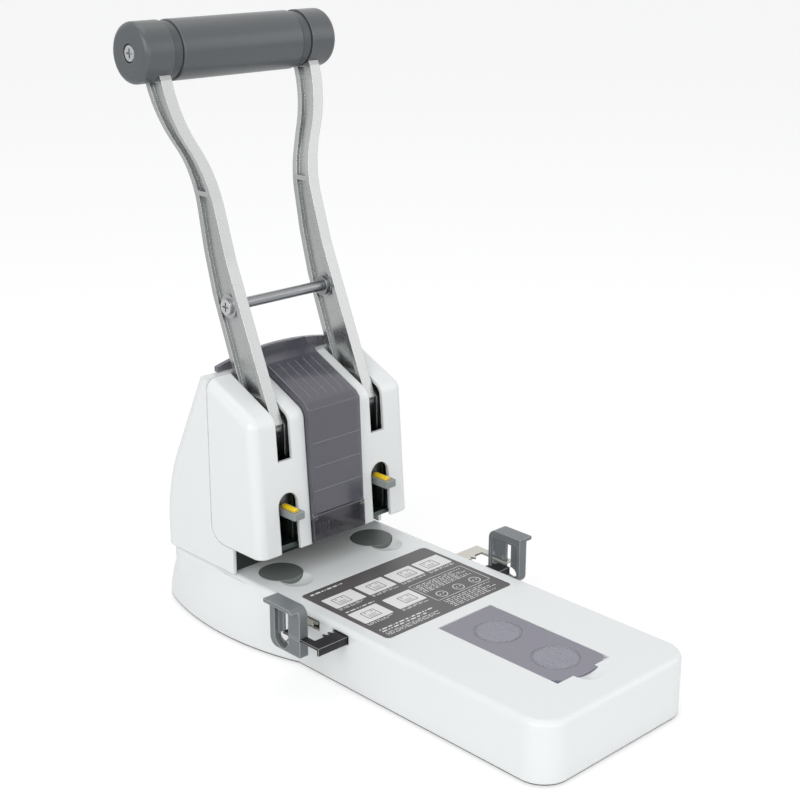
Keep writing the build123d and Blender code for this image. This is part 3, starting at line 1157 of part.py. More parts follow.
# ---------------------------------------------------------------- the assembly
def make_parts():
    """Every piece of the machine by node name; a list is a group of separate solids."""
    outer = HALF_SPACING + CHEEK_INSIDE
    inner = HALF_SPACING - CHEEK_INSIDE - CHEEK_THICKNESS
    pieces = {
        "base_cover": make_base_cover(),
        "base_plate": make_base_plate(),
        "feet": make_feet(),
        "cover_screws": make_cover_screws(),
        "frame_rods": make_frame_rods(),
        "anvil_plate": make_anvil(),
        "punch_guide_plate": make_guide_plate(),
        "back_stop": make_back_stop(),
        "rear_housing": make_rear_housing(),
        "rear_hood": make_rear_hood(),
        "tie_rod": make_tie_rod(),
        "tie_rod_screws": make_tie_screws(),
        "grip_core": make_grip_core(),
        "grip_tube": make_grip_tube(),
        "grip_rings": make_grip_rings(),
        "grip_screws": make_grip_screws(),
        "chip_bin": make_chip_bin(),
        "chip_door": make_chip_door(),
        "chip_door_pin": make_door_pin(),
        "pinion": make_pinion(),
        "pinion_stud": make_pinion_stud(),
        "rack_tray": make_rack_tray(),
        "rack_tray_screws": make_tray_screws(),
        "cutting_board_left": make_cutting_board(-HALF_SPACING),
        "cutting_board_right": make_cutting_board(HALF_SPACING),
        "spare_boards": make_spare_boards(),
        "store_lid": make_lid(),
        "instruction_plate": make_label(),
    }
    paired = {
        "frame_cheek_outer": make_cheek(outer, False),
        "frame_cheek_inner": make_cheek(inner, True),
        "head_casing": make_head_casing(),
        "lever_arm": make_lever_arm(),
        "pivot_shaft": make_pivot_shaft(),
        "pivot_bushes": make_pivot_bushes(),
        "crank_pin": make_crank_pin(),
        "grip_cap": make_grip_cap(),
        "ram": make_ram(),
        "punch_pin": make_punch_pin(),
        "punch_lock": make_punch_lock(),
        "lock_mark": make_lock_mark(),
        "return_spring": make_return_spring(),
    }
    for name, piece in paired.items():
        solids = piece if isinstance(piece, list) else [piece]
        pieces[name + "_right"] = solids
        pieces[name + "_left"] = [mirrored(solid) for solid in solids]
    turned = {"rack": make_rack(), "fence": make_fence(), "fence_screws": make_fence_screws()}
    for name, piece in turned.items():
        solids = piece if isinstance(piece, list) else [piece]
        pieces[name + "_left"] = solids
        pieces[name + "_right"] = [half_turned(solid) for solid in solids]
    return pieces


def export_parts(pieces):
    shift = Pos(0, FRAME_SHIFT_Y, 0)
    for name, piece in pieces.items():
        solids = piece if isinstance(piece, list) else [piece]
        moved = []
        for solid in solids:
            moved.extend((shift * solid).solids())
        shape = moved[0] if len(moved) == 1 else Compound(children=moved)
        export_step(shape, f"parts/{name}.step")


export_parts(make_parts())
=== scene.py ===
# %% [markdown]
# # A heavy two-hole lever punch
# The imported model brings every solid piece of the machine: the steel frame, the white mouldings,
# the forked lever, the clear chip bin, the geared paper guides and the cutting boards.  This
# lesson dresses those pieces.  Apart from the two return springs their shapes stay as they are;
# what they lack is surface: mould grain, brushed steel, tinted clear plastic, printed film, ribs
# and hatching.

# %% Load the machine
import math

import bpy
import numpy as np
from mathutils import Matrix, Vector


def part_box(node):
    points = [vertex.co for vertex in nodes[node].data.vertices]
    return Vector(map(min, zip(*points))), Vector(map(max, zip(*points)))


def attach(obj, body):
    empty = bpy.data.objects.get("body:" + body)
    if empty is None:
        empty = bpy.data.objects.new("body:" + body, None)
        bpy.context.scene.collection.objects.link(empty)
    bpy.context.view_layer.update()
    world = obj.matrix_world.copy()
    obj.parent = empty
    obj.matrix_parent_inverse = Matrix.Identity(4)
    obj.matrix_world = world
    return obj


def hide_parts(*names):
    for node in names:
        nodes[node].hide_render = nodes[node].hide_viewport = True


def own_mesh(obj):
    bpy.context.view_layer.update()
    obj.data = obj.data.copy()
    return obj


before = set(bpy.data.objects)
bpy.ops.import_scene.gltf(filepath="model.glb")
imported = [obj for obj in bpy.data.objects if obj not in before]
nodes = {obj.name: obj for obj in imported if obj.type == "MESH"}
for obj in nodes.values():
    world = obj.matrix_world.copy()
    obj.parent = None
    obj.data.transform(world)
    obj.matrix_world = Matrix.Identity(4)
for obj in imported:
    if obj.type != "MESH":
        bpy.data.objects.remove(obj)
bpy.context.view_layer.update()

MM = 0.001
scene = bpy.context.scene


# %% [markdown]
# ## Camera
# The photograph was taken from the front left and a little above.  A long lens far away keeps
# the verticals nearly parallel.  The camera's three axes are worked out from a heading, an
# elevation and a very small roll, and go straight into its matrix.

# %% Place the camera
CAMERA_PLACE = Vector((-0.6326, -0.65305, 0.4731))
CAMERA_HEADING = math.radians(-44.02)
CAMERA_ELEVATION = math.radians(18.66)
CAMERA_ROLL = math.radians(0.175)
CAMERA_LENS = 70.64


def camera_axes(heading, elevation, roll):
    """Right, up and backward unit vectors: backward from heading and elevation, then a roll."""
    back = Vector((math.sin(heading) * math.cos(elevation),
                   -math.cos(heading) * math.cos(elevation), math.sin(elevation)))
    level = Vector((math.cos(heading), math.sin(heading), 0.0))
    lift = back.cross(level)
    right = math.cos(roll) * level + math.sin(roll) * lift
    up = -math.sin(roll) * level + math.cos(roll) * lift
    return right, up, back


lens = bpy.data.cameras.new("studio_camera")
lens.lens = CAMERA_LENS
lens.sensor_width = 36.0
lens.sensor_fit = "HORIZONTAL"
camera = bpy.data.objects.new("studio_camera", lens)
scene.collection.objects.link(camera)
camera.matrix_world = Matrix.Translation(CAMERA_PLACE) @ Matrix(
    camera_axes(CAMERA_HEADING, CAMERA_ELEVATION, CAMERA_ROLL)).transposed().to_4x4()
scene.camera = camera
scene.view_settings.view_transform = "Standard"
print("camera at", tuple(round(v, 3) for v in camera.location))


# %% [markdown]
# ## Light
# A product table is lit by big soft panels.  The strongest stands at the left, a low one in front
# sends light in under the head, weaker ones stand at the right and overhead, and the pale world
# fills the rest.  Rays from the lens, and rays that gloss and clear plastic send out, see plain
# white instead of the dimmer world.

# %% Node helpers
def add(tree, kind, **settings):
    """A new node with the given properties, or socket values for names that start with in_."""
    node = tree.nodes.new(kind)
    for key, value in settings.items():
        if key.startswith("in_"):
            node.inputs[key[3:].replace("_", " ")].default_value = value
        else:
            setattr(node, key, value)
    return node


def feed(tree, socket, value):
    """Gives a socket a link from another socket, or a plain value."""
    if isinstance(value, bpy.types.NodeSocket):
        tree.links.new(value, socket)
    else:
        socket.default_value = value


def combine(tree, operation, first, second):
    """Two values, each a link or a number, put together by one operation of the Math node."""
    node = add(tree, "ShaderNodeMath", operation=operation)
    feed(tree, node.inputs[0], first)
    feed(tree, node.inputs[1], second)
    return node.outputs["Value"]


# %% World and panels
def build_world(fill, strength):
    """A world that lights with one tint and shows white to the lens, gloss and glass."""
    world = bpy.data.worlds.new("studio_world")
    world.use_nodes = True
    tree = world.node_tree
    tree.nodes.clear()
    out = add(tree, "ShaderNodeOutputWorld")
    dim = add(tree, "ShaderNodeBackground", in_Color=(*fill, 1), in_Strength=strength)
    bright = add(tree, "ShaderNodeBackground", in_Color=(1, 1, 1, 1))
    path = add(tree, "ShaderNodeLightPath")
    lens_or_gloss = combine(tree, "MAXIMUM", path.outputs["Is Camera Ray"],
                            path.outputs["Is Glossy Ray"])
    sees_white = combine(tree, "MAXIMUM", lens_or_gloss, path.outputs["Is Transmission Ray"])
    mix = add(tree, "ShaderNodeMixShader")
    tree.links.new(sees_white, mix.inputs["Fac"])
    tree.links.new(dim.outputs[0], mix.inputs[1])
    tree.links.new(bright.outputs[0], mix.inputs[2])
    tree.links.new(mix.outputs[0], out.inputs["Surface"])
    scene.world = world


def light_panel(name, place, aim, size, watts):
    """A rectangular lamp at place whose face looks at aim; size is its width and height."""
    lamp = bpy.data.lights.new(name, "AREA")
    lamp.shape = "RECTANGLE"
    lamp.size, lamp.size_y = size
    lamp.energy = watts
    piece = bpy.data.objects.new(name, lamp)
    scene.collection.objects.link(piece)
    piece.location = place
    piece.rotation_euler = (Vector(aim) - Vector(place)).to_track_quat("-Z", "Y").to_euler()


build_world(fill=(0.98, 0.99, 1.0), strength=0.62)
light_panel("panel_left", place=(-1.6, -0.5, 1.1), aim=(0, 0, 0.12), size=(1.4, 1.2), watts=12.5)
light_panel("panel_front", place=(-0.3, -1.4, 0.65), aim=(0, 0, 0.05), size=(1.2, 0.8), watts=4)
light_panel("panel_right", place=(1.3, -1.0, 0.8), aim=(0, 0, 0.12), size=(0.9, 0.9), watts=2)
light_panel("panel_top", place=(0.1, 0.3, 1.9), aim=(0, 0, 0.1), size=(1.4, 1.4), watts=6)
print("lamps", [lamp.name for lamp in bpy.data.lights])


# %% [markdown]
# ## Table
# The floor is a wide pale sheet.  To the lens it is nearly white by its own colour, and part of
# it glows for lens rays only, so that the shadow under the machine stays faint, as on a light
# table, and no extra light falls on the machine.

# %% Floor
FLOOR_WHITE = (0.93, 0.93, 0.93, 1)
FLOOR_ROUGHNESS = 0.55
FLOOR_GLOW = 1.18
FLOOR_GLOW_SHARE = 0.52
FLOOR_REACH = 6


def mesh_from(name, points, faces):
    """A linked mesh object at the origin from an array of corner places and a list of faces."""
    mesh = bpy.data.meshes.new(name)
    mesh.from_pydata(points.tolist(), [], faces)
    mesh.update()
    piece = bpy.data.objects.new(name, mesh)
    scene.collection.objects.link(piece)
    return piece


def grid_mesh(name, points, closed=False):
    """A mesh from a rows x columns x 3 array of points: each cell is a quad, wrapping if closed."""
    rows, columns = points.shape[:2]
    row, column = np.meshgrid(np.arange(rows if closed else rows - 1),
                              np.arange(columns if closed else columns - 1), indexing="ij")
    next_row, next_column = (row + 1) % rows, (column + 1) % columns
    faces = np.stack([row * columns + column, next_row * columns + column,
                      next_row * columns + next_column, row * columns + next_column], axis=-1)
    return mesh_from(name, points.reshape(-1, 3), faces.reshape(-1, 4).tolist())


def new_material(name):
    """A material with its node tree and its main shader."""
    material = bpy.data.materials.new(name)
    material.use_nodes = True
    return material, material.node_tree, material.node_tree.nodes["Principled BSDF"]


def floor_material():
    """Pale paper that lens rays see as partly glowing."""
    material, tree, shader = new_material("table_white")
    shader.inputs["Base Color"].default_value = FLOOR_WHITE
    shader.inputs["Roughness"].default_value = FLOOR_ROUGHNESS
    glow = add(tree, "ShaderNodeEmission", in_Strength=FLOOR_GLOW)
    path = add(tree, "ShaderNodeLightPath")
    share = combine(tree, "MULTIPLY", path.outputs["Is Camera Ray"], FLOOR_GLOW_SHARE)
    mix = add(tree, "ShaderNodeMixShader")
    tree.links.new(share, mix.inputs["Fac"])
    tree.links.new(shader.outputs[0], mix.inputs[1])
    tree.links.new(glow.outputs[0], mix.inputs[2])
    tree.links.new(mix.outputs[0], tree.nodes["Material Output"].inputs["Surface"])
    return material


reach = np.linspace(-FLOOR_REACH, FLOOR_REACH, 3)
table = grid_mesh("table", np.stack([*np.meshgrid(reach, reach, indexing="ij"),
                                     np.zeros((3, 3))], axis=-1))
table.data.materials.append(floor_material())
print("table faces", len(table.data.polygons))


# %% [markdown]
# ## Shared effects
# Five effects come back on many finishes, so each is one node group with named sockets:
# *moulded_skin* is the fine pebble that a mould leaves and a slow drift of tone, *soft_edges*
# rounds a sharp edge to the eye and marks it for paler edges, partly wear and partly a painted
# highlight, *brushed_lines* is the drawn-out grain of rolled or ground steel, *handling* is faint
# scratches and dust, and *hollow_shade* finds corners and channels, where metal gets painted shade.

# %% Node group helpers
def new_group(name, inputs, outputs):
    """A shader node group with (label, socket type, value) inputs and (label, type) outputs."""
    tree = bpy.data.node_groups.new(name, "ShaderNodeTree")
    for label, kind, value in inputs:
        socket = tree.interface.new_socket(label, in_out="INPUT", socket_type=kind)
        if value is not None:
            socket.default_value = value
    for label, kind in outputs:
        tree.interface.new_socket(label, in_out="OUTPUT", socket_type=kind)
    return tree, tree.nodes.new("NodeGroupInput"), tree.nodes.new("NodeGroupOutput")


def spread(tree, source, low, high, to_low=0.0, to_high=1.0):
    """Stretches the part of a value between low and high over to_low..to_high, clamped."""
    node = add(tree, "ShaderNodeMapRange", clamp=True, in_From_Min=low, in_From_Max=high,
               in_To_Min=to_low, in_To_Max=to_high)
    tree.links.new(source, node.inputs["Value"])
    return node.outputs["Result"]


def pattern(tree, kind, vector, **settings):
    """A texture node of one kind that reads the given coordinates."""
    node = add(tree, kind, **settings)
    tree.links.new(vector, node.inputs["Vector"])
    return node


# %% Moulded skin
def build_moulded_skin():
    """Height is fine noise, the pebble; Tone is wide noise, stretched over its middle range."""
    tree, given, result = new_group(
        "moulded_skin",
        [("Vector", "NodeSocketVector", None), ("Grain", "NodeSocketFloat", 1500.0),
         ("Drift", "NodeSocketFloat", 14.0)],
        [("Height", "NodeSocketFloat"), ("Tone", "NodeSocketFloat")])
    place = given.outputs["Vector"]
    pebble = pattern(tree, "ShaderNodeTexNoise", place, in_Detail=3.0, in_Roughness=0.6)
    drift = pattern(tree, "ShaderNodeTexNoise", place, in_Detail=4.0, in_Roughness=0.5)
    tree.links.new(given.outputs["Grain"], pebble.inputs["Scale"])
    tree.links.new(given.outputs["Drift"], drift.inputs["Scale"])
    tree.links.new(pebble.outputs["Fac"], result.inputs["Height"])
    tree.links.new(spread(tree, drift.outputs["Fac"], 0.3, 0.7), result.inputs["Tone"])
    return tree


moulded_skin = build_moulded_skin()


# %% Soft edges
def build_soft_edges():
    """Edge goes from 0 to 1 as the cosine between true and rounded normal falls below 0.99."""
    tree, given, result = new_group(
        "soft_edges", [("Radius", "NodeSocketFloat", 0.0005)],
        [("Normal", "NodeSocketVector"), ("Edge", "NodeSocketFloat")])
    rounded = add(tree, "ShaderNodeBevel", samples=6)
    tree.links.new(given.outputs["Radius"], rounded.inputs["Radius"])
    flat = add(tree, "ShaderNodeNewGeometry")
    cosine = add(tree, "ShaderNodeVectorMath", operation="DOT_PRODUCT")
    tree.links.new(rounded.outputs["Normal"], cosine.inputs[0])
    tree.links.new(flat.outputs["Normal"], cosine.inputs[1])
    # The Edge mask sets where the finishes paint paler edges: partly wear, partly a painted
    # highlight.
    tree.links.new(spread(tree, cosine.outputs["Value"], 0.99, 0.80), result.inputs["Edge"])
    tree.links.new(rounded.outputs["Normal"], result.inputs["Normal"])
    return tree


soft_edges = build_soft_edges()


# %% Brushed lines
def build_brushed_lines():
    """Noise squeezed hard across one axis and hardly along it reads as drawn-out grain."""
    tree, given, result = new_group(
        "brushed_lines",
        [("Vector", "NodeSocketVector", None), ("Squeeze", "NodeSocketVector", (30, 3000, 3000))],
        [("Height", "NodeSocketFloat"), ("Tone", "NodeSocketFloat")])
    squeezed = add(tree, "ShaderNodeVectorMath", operation="MULTIPLY")
    tree.links.new(given.outputs["Vector"], squeezed.inputs[0])
    tree.links.new(given.outputs["Squeeze"], squeezed.inputs[1])
    lines = pattern(tree, "ShaderNodeTexNoise", squeezed.outputs[0], in_Scale=1.0, in_Detail=4.0,
                    in_Roughness=0.65)
    patches = pattern(tree, "ShaderNodeTexNoise", given.outputs["Vector"], in_Scale=45.0,
                      in_Detail=3.0)
    tree.links.new(lines.outputs["Fac"], result.inputs["Height"])
    tone = combine(tree, "MULTIPLY", spread(tree, lines.outputs["Fac"], 0.3, 0.7),
                   spread(tree, patches.outputs["Fac"], 0.35, 0.65, 0.6, 1.0))
    tree.links.new(tone, result.inputs["Tone"])
    return tree


brushed_lines = build_brushed_lines()


# %% Handling marks
def build_handling():
    """Scratches are thin bands where a warped wave peaks; dust is noise on faces that look up."""
    tree, given, result = new_group(
        "handling", [("Vector", "NodeSocketVector", None), ("Amount", "NodeSocketFloat", 0.5)],
        [("Scratch", "NodeSocketFloat"), ("Dust", "NodeSocketFloat")])
    place, amount = given.outputs["Vector"], given.outputs["Amount"]
    wave = pattern(tree, "ShaderNodeTexWave", place, wave_type="BANDS",
                   bands_direction="DIAGONAL", in_Scale=70.0, in_Distortion=22.0, in_Detail=3.0,
                   in_Detail_Scale=0.6)
    where = pattern(tree, "ShaderNodeTexNoise", place, in_Scale=60.0, in_Detail=2.0)
    scratch = combine(tree, "MULTIPLY", spread(tree, wave.outputs["Fac"], 0.985, 1.0),
                      spread(tree, where.outputs["Fac"], 0.58, 0.68))
    tree.links.new(combine(tree, "MULTIPLY", scratch, amount), result.inputs["Scratch"])
    speck = pattern(tree, "ShaderNodeTexNoise", place, in_Scale=2200.0, in_Detail=1.0)
    level = add(tree, "ShaderNodeNewGeometry")
    parts = add(tree, "ShaderNodeSeparateXYZ")
    tree.links.new(level.outputs["Normal"], parts.inputs[0])
    dust = combine(tree, "MULTIPLY", spread(tree, speck.outputs["Fac"], 0.70, 0.78),
                   spread(tree, parts.outputs["Z"], 0.6, 1.0))
    tree.links.new(combine(tree, "MULTIPLY", dust, amount), result.inputs["Dust"])
    return tree


handling = build_handling()


# %% Hollow shade
def build_hollow_shade():
    """How open a spot is to its surroundings within a few millimetres: 0 deep inside, 1 free."""
    tree, given, result = new_group(
        "hollow_shade", [("Reach", "NodeSocketFloat", 0.008)], [("Open", "NodeSocketFloat")])
    nearby = add(tree, "ShaderNodeAmbientOcclusion", samples=12)
    tree.links.new(given.outputs["Reach"], nearby.inputs["Distance"])
    tree.links.new(spread(tree, nearby.outputs["AO"], 0.25, 0.95), result.inputs["Open"])
    return tree


hollow_shade = build_hollow_shade()
print("shared effects", [g.name for g in bpy.data.node_groups])


# %% [markdown]
# ## Finishes
# Two recipes cover the machine.  *moulding* is for plastic and rubber: skin grain in the bump, a
# slow tone drift, edges painted paler, partly wear and partly a painted highlight, a little dust.
# *metal* is for steel and for the satin-painted arms: brushed grain in bump, colour and roughness,
# with edges painted brighter in the same way, and painted shade in hollows.

# %% Recipe helpers
DUST_GREY = (0.62, 0.61, 0.59)
PLASTIC_SCRATCH = 0.3
METAL_SCRATCH = 0.2
COAT_ROUGHNESS = 0.08
CLEAR_SWING = 0.04


def mix_colour(tree, factor, first, second):
    """A colour that goes from first to second as the factor goes from 0 to 1."""
    node = add(tree, "ShaderNodeMix", data_type="RGBA", blend_type="MIX")
    tree.links.new(factor, node.inputs["Factor"])
    for label, value in (("A", first), ("B", second)):
        feed(tree, node.inputs[label], (*value, 1) if isinstance(value, tuple) else value)
    return node.outputs["Result"]


def use_group(tree, group, **links_or_values):
    """Places a group; each named socket gets a link, or a plain value."""
    node = add(tree, "ShaderNodeGroup", node_tree=group)
    for label, value in links_or_values.items():
        feed(tree, node.inputs[label], value)
    return node


def bumped(tree, height, normal, depth):
    """The normal tilted by the slope of a height map, whose full swing is depth metres."""
    node = add(tree, "ShaderNodeBump", in_Distance=depth)
    tree.links.new(height, node.inputs["Height"])
    tree.links.new(normal, node.inputs["Normal"])
    return node.outputs["Normal"]


# %% Moulding
def moulding(name, colour, drift, edge, roughness=0.4, gloss_swing=0.06, grain=1500.0,
             grain_depth=0.00002, radius=0.0006, edge_highlight_and_wear=0.5, dust=0.3, coat=0.0, alpha=None,
             specular=0.5):
    """Plastic or rubber: colour drifts towards drift, and its edges go towards edge.

    For clear plastic, alpha is how solid its faces look and how solid its edges look.
    """
    material, tree, shader = new_material(name)
    place = add(tree, "ShaderNodeTexCoord").outputs["Object"]
    skin = use_group(tree, moulded_skin, Vector=place, Grain=grain)
    edges = use_group(tree, soft_edges, Radius=radius)
    marks = use_group(tree, handling, Vector=place, Amount=dust)
    tone, rim = skin.outputs["Tone"], edges.outputs["Edge"]
    base = mix_colour(tree, tone, colour, drift)
    # Paler edges: partly wear and partly a painted highlight on the rounded edges.
    base = mix_colour(tree, combine(tree, "MULTIPLY", rim, edge_highlight_and_wear), base, edge)
    base = mix_colour(tree, marks.outputs["Dust"], base, DUST_GREY)
    tree.links.new(base, shader.inputs["Base Color"])
    gloss = spread(tree, tone, 0.0, 1.0, roughness, roughness + gloss_swing)
    scratch = spread(tree, marks.outputs["Scratch"], 0.0, 1.0, 0.0, PLASTIC_SCRATCH)
    tree.links.new(combine(tree, "ADD", gloss, scratch), shader.inputs["Roughness"])
    tree.links.new(bumped(tree, skin.outputs["Height"], edges.outputs["Normal"], grain_depth),
                   shader.inputs["Normal"])
    shader.inputs["Specular IOR Level"].default_value = specular
    shader.inputs["Coat Weight"].default_value = coat
    shader.inputs["Coat Roughness"].default_value = COAT_ROUGHNESS
    if alpha is not None:
        clear, solid = alpha
        seen = combine(tree, "MAXIMUM", spread(tree, tone, 0.0, 1.0, clear, clear + CLEAR_SWING),
                       spread(tree, rim, 0.0, 1.0, 0.0, solid))
        tree.links.new(seen, shader.inputs["Alpha"])
    return material


# %% Metal
def metal(name, colour, shade, edge, roughness=0.3, gloss_swing=0.12, squeeze=(30, 3000, 3000),
          grain_depth=0.00002, radius=0.0004, edge_highlight_and_wear=0.6, metallic=1.0, dust=0.2,
          hollow_painted_shade=(0.5, 0.5, 0.5), reach=0.006):
    """Steel or satin silver: grain runs along the axis that squeeze leaves short.

    In hollows the colour is multiplied by a painted shade; reach is how far their walls may be.
    """
    material, tree, shader = new_material(name)
    shader.inputs["Metallic"].default_value = metallic
    place = add(tree, "ShaderNodeTexCoord").outputs["Object"]
    lines = use_group(tree, brushed_lines, Vector=place, Squeeze=squeeze)
    edges = use_group(tree, soft_edges, Radius=radius)
    marks = use_group(tree, handling, Vector=place, Amount=dust)
    base = mix_colour(tree, lines.outputs["Tone"], shade, colour)
    # Brighter edges: partly wear and partly a painted highlight on the rounded edges.
    base = mix_colour(tree, combine(tree, "MULTIPLY", edges.outputs["Edge"], edge_highlight_and_wear), base, edge)
    # Painted shade: the colour is darkened where a spot is closed in by nearby walls.
    openness = use_group(tree, hollow_shade, Reach=reach).outputs["Open"]
    dimmed = add(tree, "ShaderNodeMix", data_type="RGBA", blend_type="MULTIPLY", in_Factor=1.0)
    tree.links.new(base, dimmed.inputs["A"])
    tree.links.new(mix_colour(tree, openness, hollow_painted_shade, (1.0, 1.0, 1.0)), dimmed.inputs["B"])
    tree.links.new(dimmed.outputs["Result"], shader.inputs["Base Color"])
    gloss = spread(tree, lines.outputs["Tone"], 0.0, 1.0, roughness + gloss_swing, roughness)
    scratch = spread(tree, marks.outputs["Scratch"], 0.0, 1.0, 0.0, METAL_SCRATCH)
    tree.links.new(combine(tree, "ADD", gloss, scratch), shader.inputs["Roughness"])
    tree.links.new(bumped(tree, lines.outputs["Height"], edges.outputs["Normal"], grain_depth),
                   shader.inputs["Normal"])
    return material


# %% Body, clear and grip plastics
body_white = moulding("body_white", (0.785, 0.805, 0.803), (0.780, 0.800, 0.799),
                      (0.93, 0.94, 0.94), roughness=0.26, gloss_swing=0.01, grain=1100,
                      grain_depth=0.000003, radius=0.0011, edge_highlight_and_wear=0.5, dust=0.02, coat=0.3)
smoky_clear = moulding("smoky_clear", (0.098, 0.096, 0.122), (0.078, 0.076, 0.098),
                       (0.34, 0.34, 0.40), roughness=0.12, grain=240, grain_depth=0.000006,
                       radius=0.0009, edge_highlight_and_wear=0.9, dust=0.25, alpha=(0.80, 0.97), specular=0.75,
                       coat=0.4)
smoky_dark = moulding("smoky_dark", (0.030, 0.029, 0.039), (0.022, 0.021, 0.029),
                      (0.26, 0.26, 0.31), roughness=0.10, grain=240, grain_depth=0.000006,
                      radius=0.0008, edge_highlight_and_wear=0.9, dust=0.2, alpha=(0.78, 0.97), specular=0.7,
                      coat=0.5)
# Paler finish for the clear bin's level lines and slope ribs: a painted highlight.
smoky_rib_highlight = moulding("smoky_rib_highlight", (0.19, 0.19, 0.23), (0.15, 0.15, 0.18), (0.32, 0.32, 0.37),
                      roughness=0.14, grain=420, grain_depth=0.000010, radius=0.0003,
                      edge_highlight_and_wear=0.6, dust=0.1)
lid_clear = moulding("lid_clear", (0.265, 0.260, 0.310), (0.235, 0.230, 0.280),
                     (0.46, 0.46, 0.52), roughness=0.2, grain=260, grain_depth=0.000030,
                     radius=0.0007, edge_highlight_and_wear=0.8, dust=0.2, alpha=(0.88, 0.98))
grip_dark = moulding("grip_dark", (0.082, 0.090, 0.096), (0.070, 0.078, 0.083),
                     (0.24, 0.255, 0.26), roughness=0.27, grain=1700, grain_depth=0.00003,
                     radius=0.0012, edge_highlight_and_wear=0.5, dust=0.35, specular=0.65)
ring_dark = moulding("ring_dark", (0.070, 0.077, 0.081), (0.060, 0.066, 0.070),
                     (0.19, 0.20, 0.205), roughness=0.33, grain=1700, grain_depth=0.00003,
                     radius=0.0007, edge_highlight_and_wear=0.6, dust=0.3)
guide_grey = moulding("guide_grey", (0.150, 0.166, 0.174), (0.128, 0.142, 0.149),
                      (0.60, 0.62, 0.63), roughness=0.28, grain=1900, grain_depth=0.00003,
                      radius=0.0013, edge_highlight_and_wear=0.6, dust=0.3, specular=0.6)
# Paler finish for the clear lid's hatch lines: a painted highlight.
lid_hatch_highlight = moulding("lid_hatch_highlight", (0.33, 0.33, 0.38), (0.29, 0.29, 0.34), (0.42, 0.42, 0.47),
                    roughness=0.25, grain=700, grain_depth=0.00001, radius=0.0003)
lock_grey = moulding("lock_grey", (0.26, 0.28, 0.28), (0.22, 0.24, 0.24), (0.60, 0.61, 0.61),
                     roughness=0.3, grain=1900, grain_depth=0.00002, radius=0.0006, edge_highlight_and_wear=0.7)
mark_yellow = moulding("mark_yellow", (0.88, 0.62, 0.02), (0.82, 0.54, 0.015),
                       (0.97, 0.84, 0.22), roughness=0.25, grain=1500, grain_depth=0.00001,
                       radius=0.0007, edge_highlight_and_wear=0.6, dust=0.1)
board_green = moulding("board_green", (0.150, 0.172, 0.164), (0.128, 0.147, 0.141),
                       (0.20, 0.215, 0.21), roughness=0.42, grain=1300, grain_depth=0.00008,
                       radius=0.0006, edge_highlight_and_wear=0.6, dust=0.6)
inner_black = moulding("inner_black", (0.018, 0.026, 0.022), (0.014, 0.020, 0.017),
                       (0.07, 0.085, 0.075), roughness=0.45, grain=1300, grain_depth=0.00004,
                       radius=0.0005, edge_highlight_and_wear=0.5, dust=0.4)
gap_shadow_grey = moulding("gap_shadow_grey", (0.115, 0.115, 0.112), (0.090, 0.090, 0.088),
                    (0.22, 0.22, 0.21), roughness=0.5, grain=1500, grain_depth=0.00003,
                    radius=0.0003, dust=0.4)
gear_white = moulding("gear_white", (0.72, 0.72, 0.68), (0.66, 0.66, 0.61), (0.80, 0.80, 0.76),
                      roughness=0.4, grain=1500, grain_depth=0.00002, radius=0.0003)
label_film = moulding("label_film", (0.098, 0.093, 0.093), (0.085, 0.080, 0.080),
                      (0.18, 0.175, 0.175), roughness=0.36, grain=2600, grain_depth=0.000006,
                      radius=0.0002, edge_highlight_and_wear=0.3, dust=0.2)
label_ink = moulding("label_ink", (0.80, 0.80, 0.79), (0.76, 0.76, 0.75), (0.84, 0.84, 0.83),
                     roughness=0.42, grain=2600, grain_depth=0.000006, radius=0.0001, edge_highlight_and_wear=0.1,
                     dust=0.1)
foot_rubber = moulding("foot_rubber", (0.020, 0.020, 0.020), (0.028, 0.028, 0.028),
                       (0.06, 0.06, 0.06), roughness=0.75, grain=2200, grain_depth=0.00006,
                       radius=0.0006)

# %% Metals
arm_silver = metal("arm_silver", (0.47, 0.48, 0.475), (0.455, 0.465, 0.46), (0.86, 0.86, 0.85),
                   roughness=0.26, gloss_swing=0.02, squeeze=(500, 500, 260),
                   grain_depth=0.000002, radius=0.0005, edge_highlight_and_wear=0.6, metallic=0.9,
                   hollow_painted_shade=(0.62, 0.64, 0.67), reach=0.006)
frame_steel = metal("frame_steel", (0.165, 0.205, 0.185), (0.085, 0.112, 0.098),
                    (0.45, 0.49, 0.46), squeeze=(3000, 60, 3000), hollow_painted_shade=(0.42, 0.48, 0.44))
tool_steel = metal("tool_steel", (0.42, 0.42, 0.43), (0.28, 0.28, 0.29), (0.75, 0.75, 0.76),
                   roughness=0.22, squeeze=(3000, 3000, 40))
rod_steel = metal("rod_steel", (0.40, 0.41, 0.42), (0.24, 0.25, 0.26), (0.70, 0.71, 0.72),
                  roughness=0.22, squeeze=(60, 3200, 3200))
screw_zinc = metal("screw_zinc", (0.72, 0.73, 0.74), (0.52, 0.53, 0.54), (0.92, 0.92, 0.93),
                   roughness=0.20, squeeze=(1500, 1500, 1500), radius=0.0003)
# The two racks are alike: this dark finish paints shade on the left one, and the next one paints a
# bright reflection on the right one.
rack_painted_shade = metal("rack_painted_shade", (0.050, 0.048, 0.052), (0.028, 0.027, 0.030),
                   (0.78, 0.77, 0.73), roughness=0.28, squeeze=(60, 2800, 2800), radius=0.0005,
                   edge_highlight_and_wear=0.9, metallic=0.7)
rack_painted_reflection = metal("rack_painted_reflection", (0.66, 0.65, 0.60), (0.54, 0.53, 0.48), (0.88, 0.87, 0.84),
                    roughness=0.26, squeeze=(60, 2800, 2800), radius=0.0005, edge_highlight_and_wear=0.7)
print("finishes", len(bpy.data.materials))
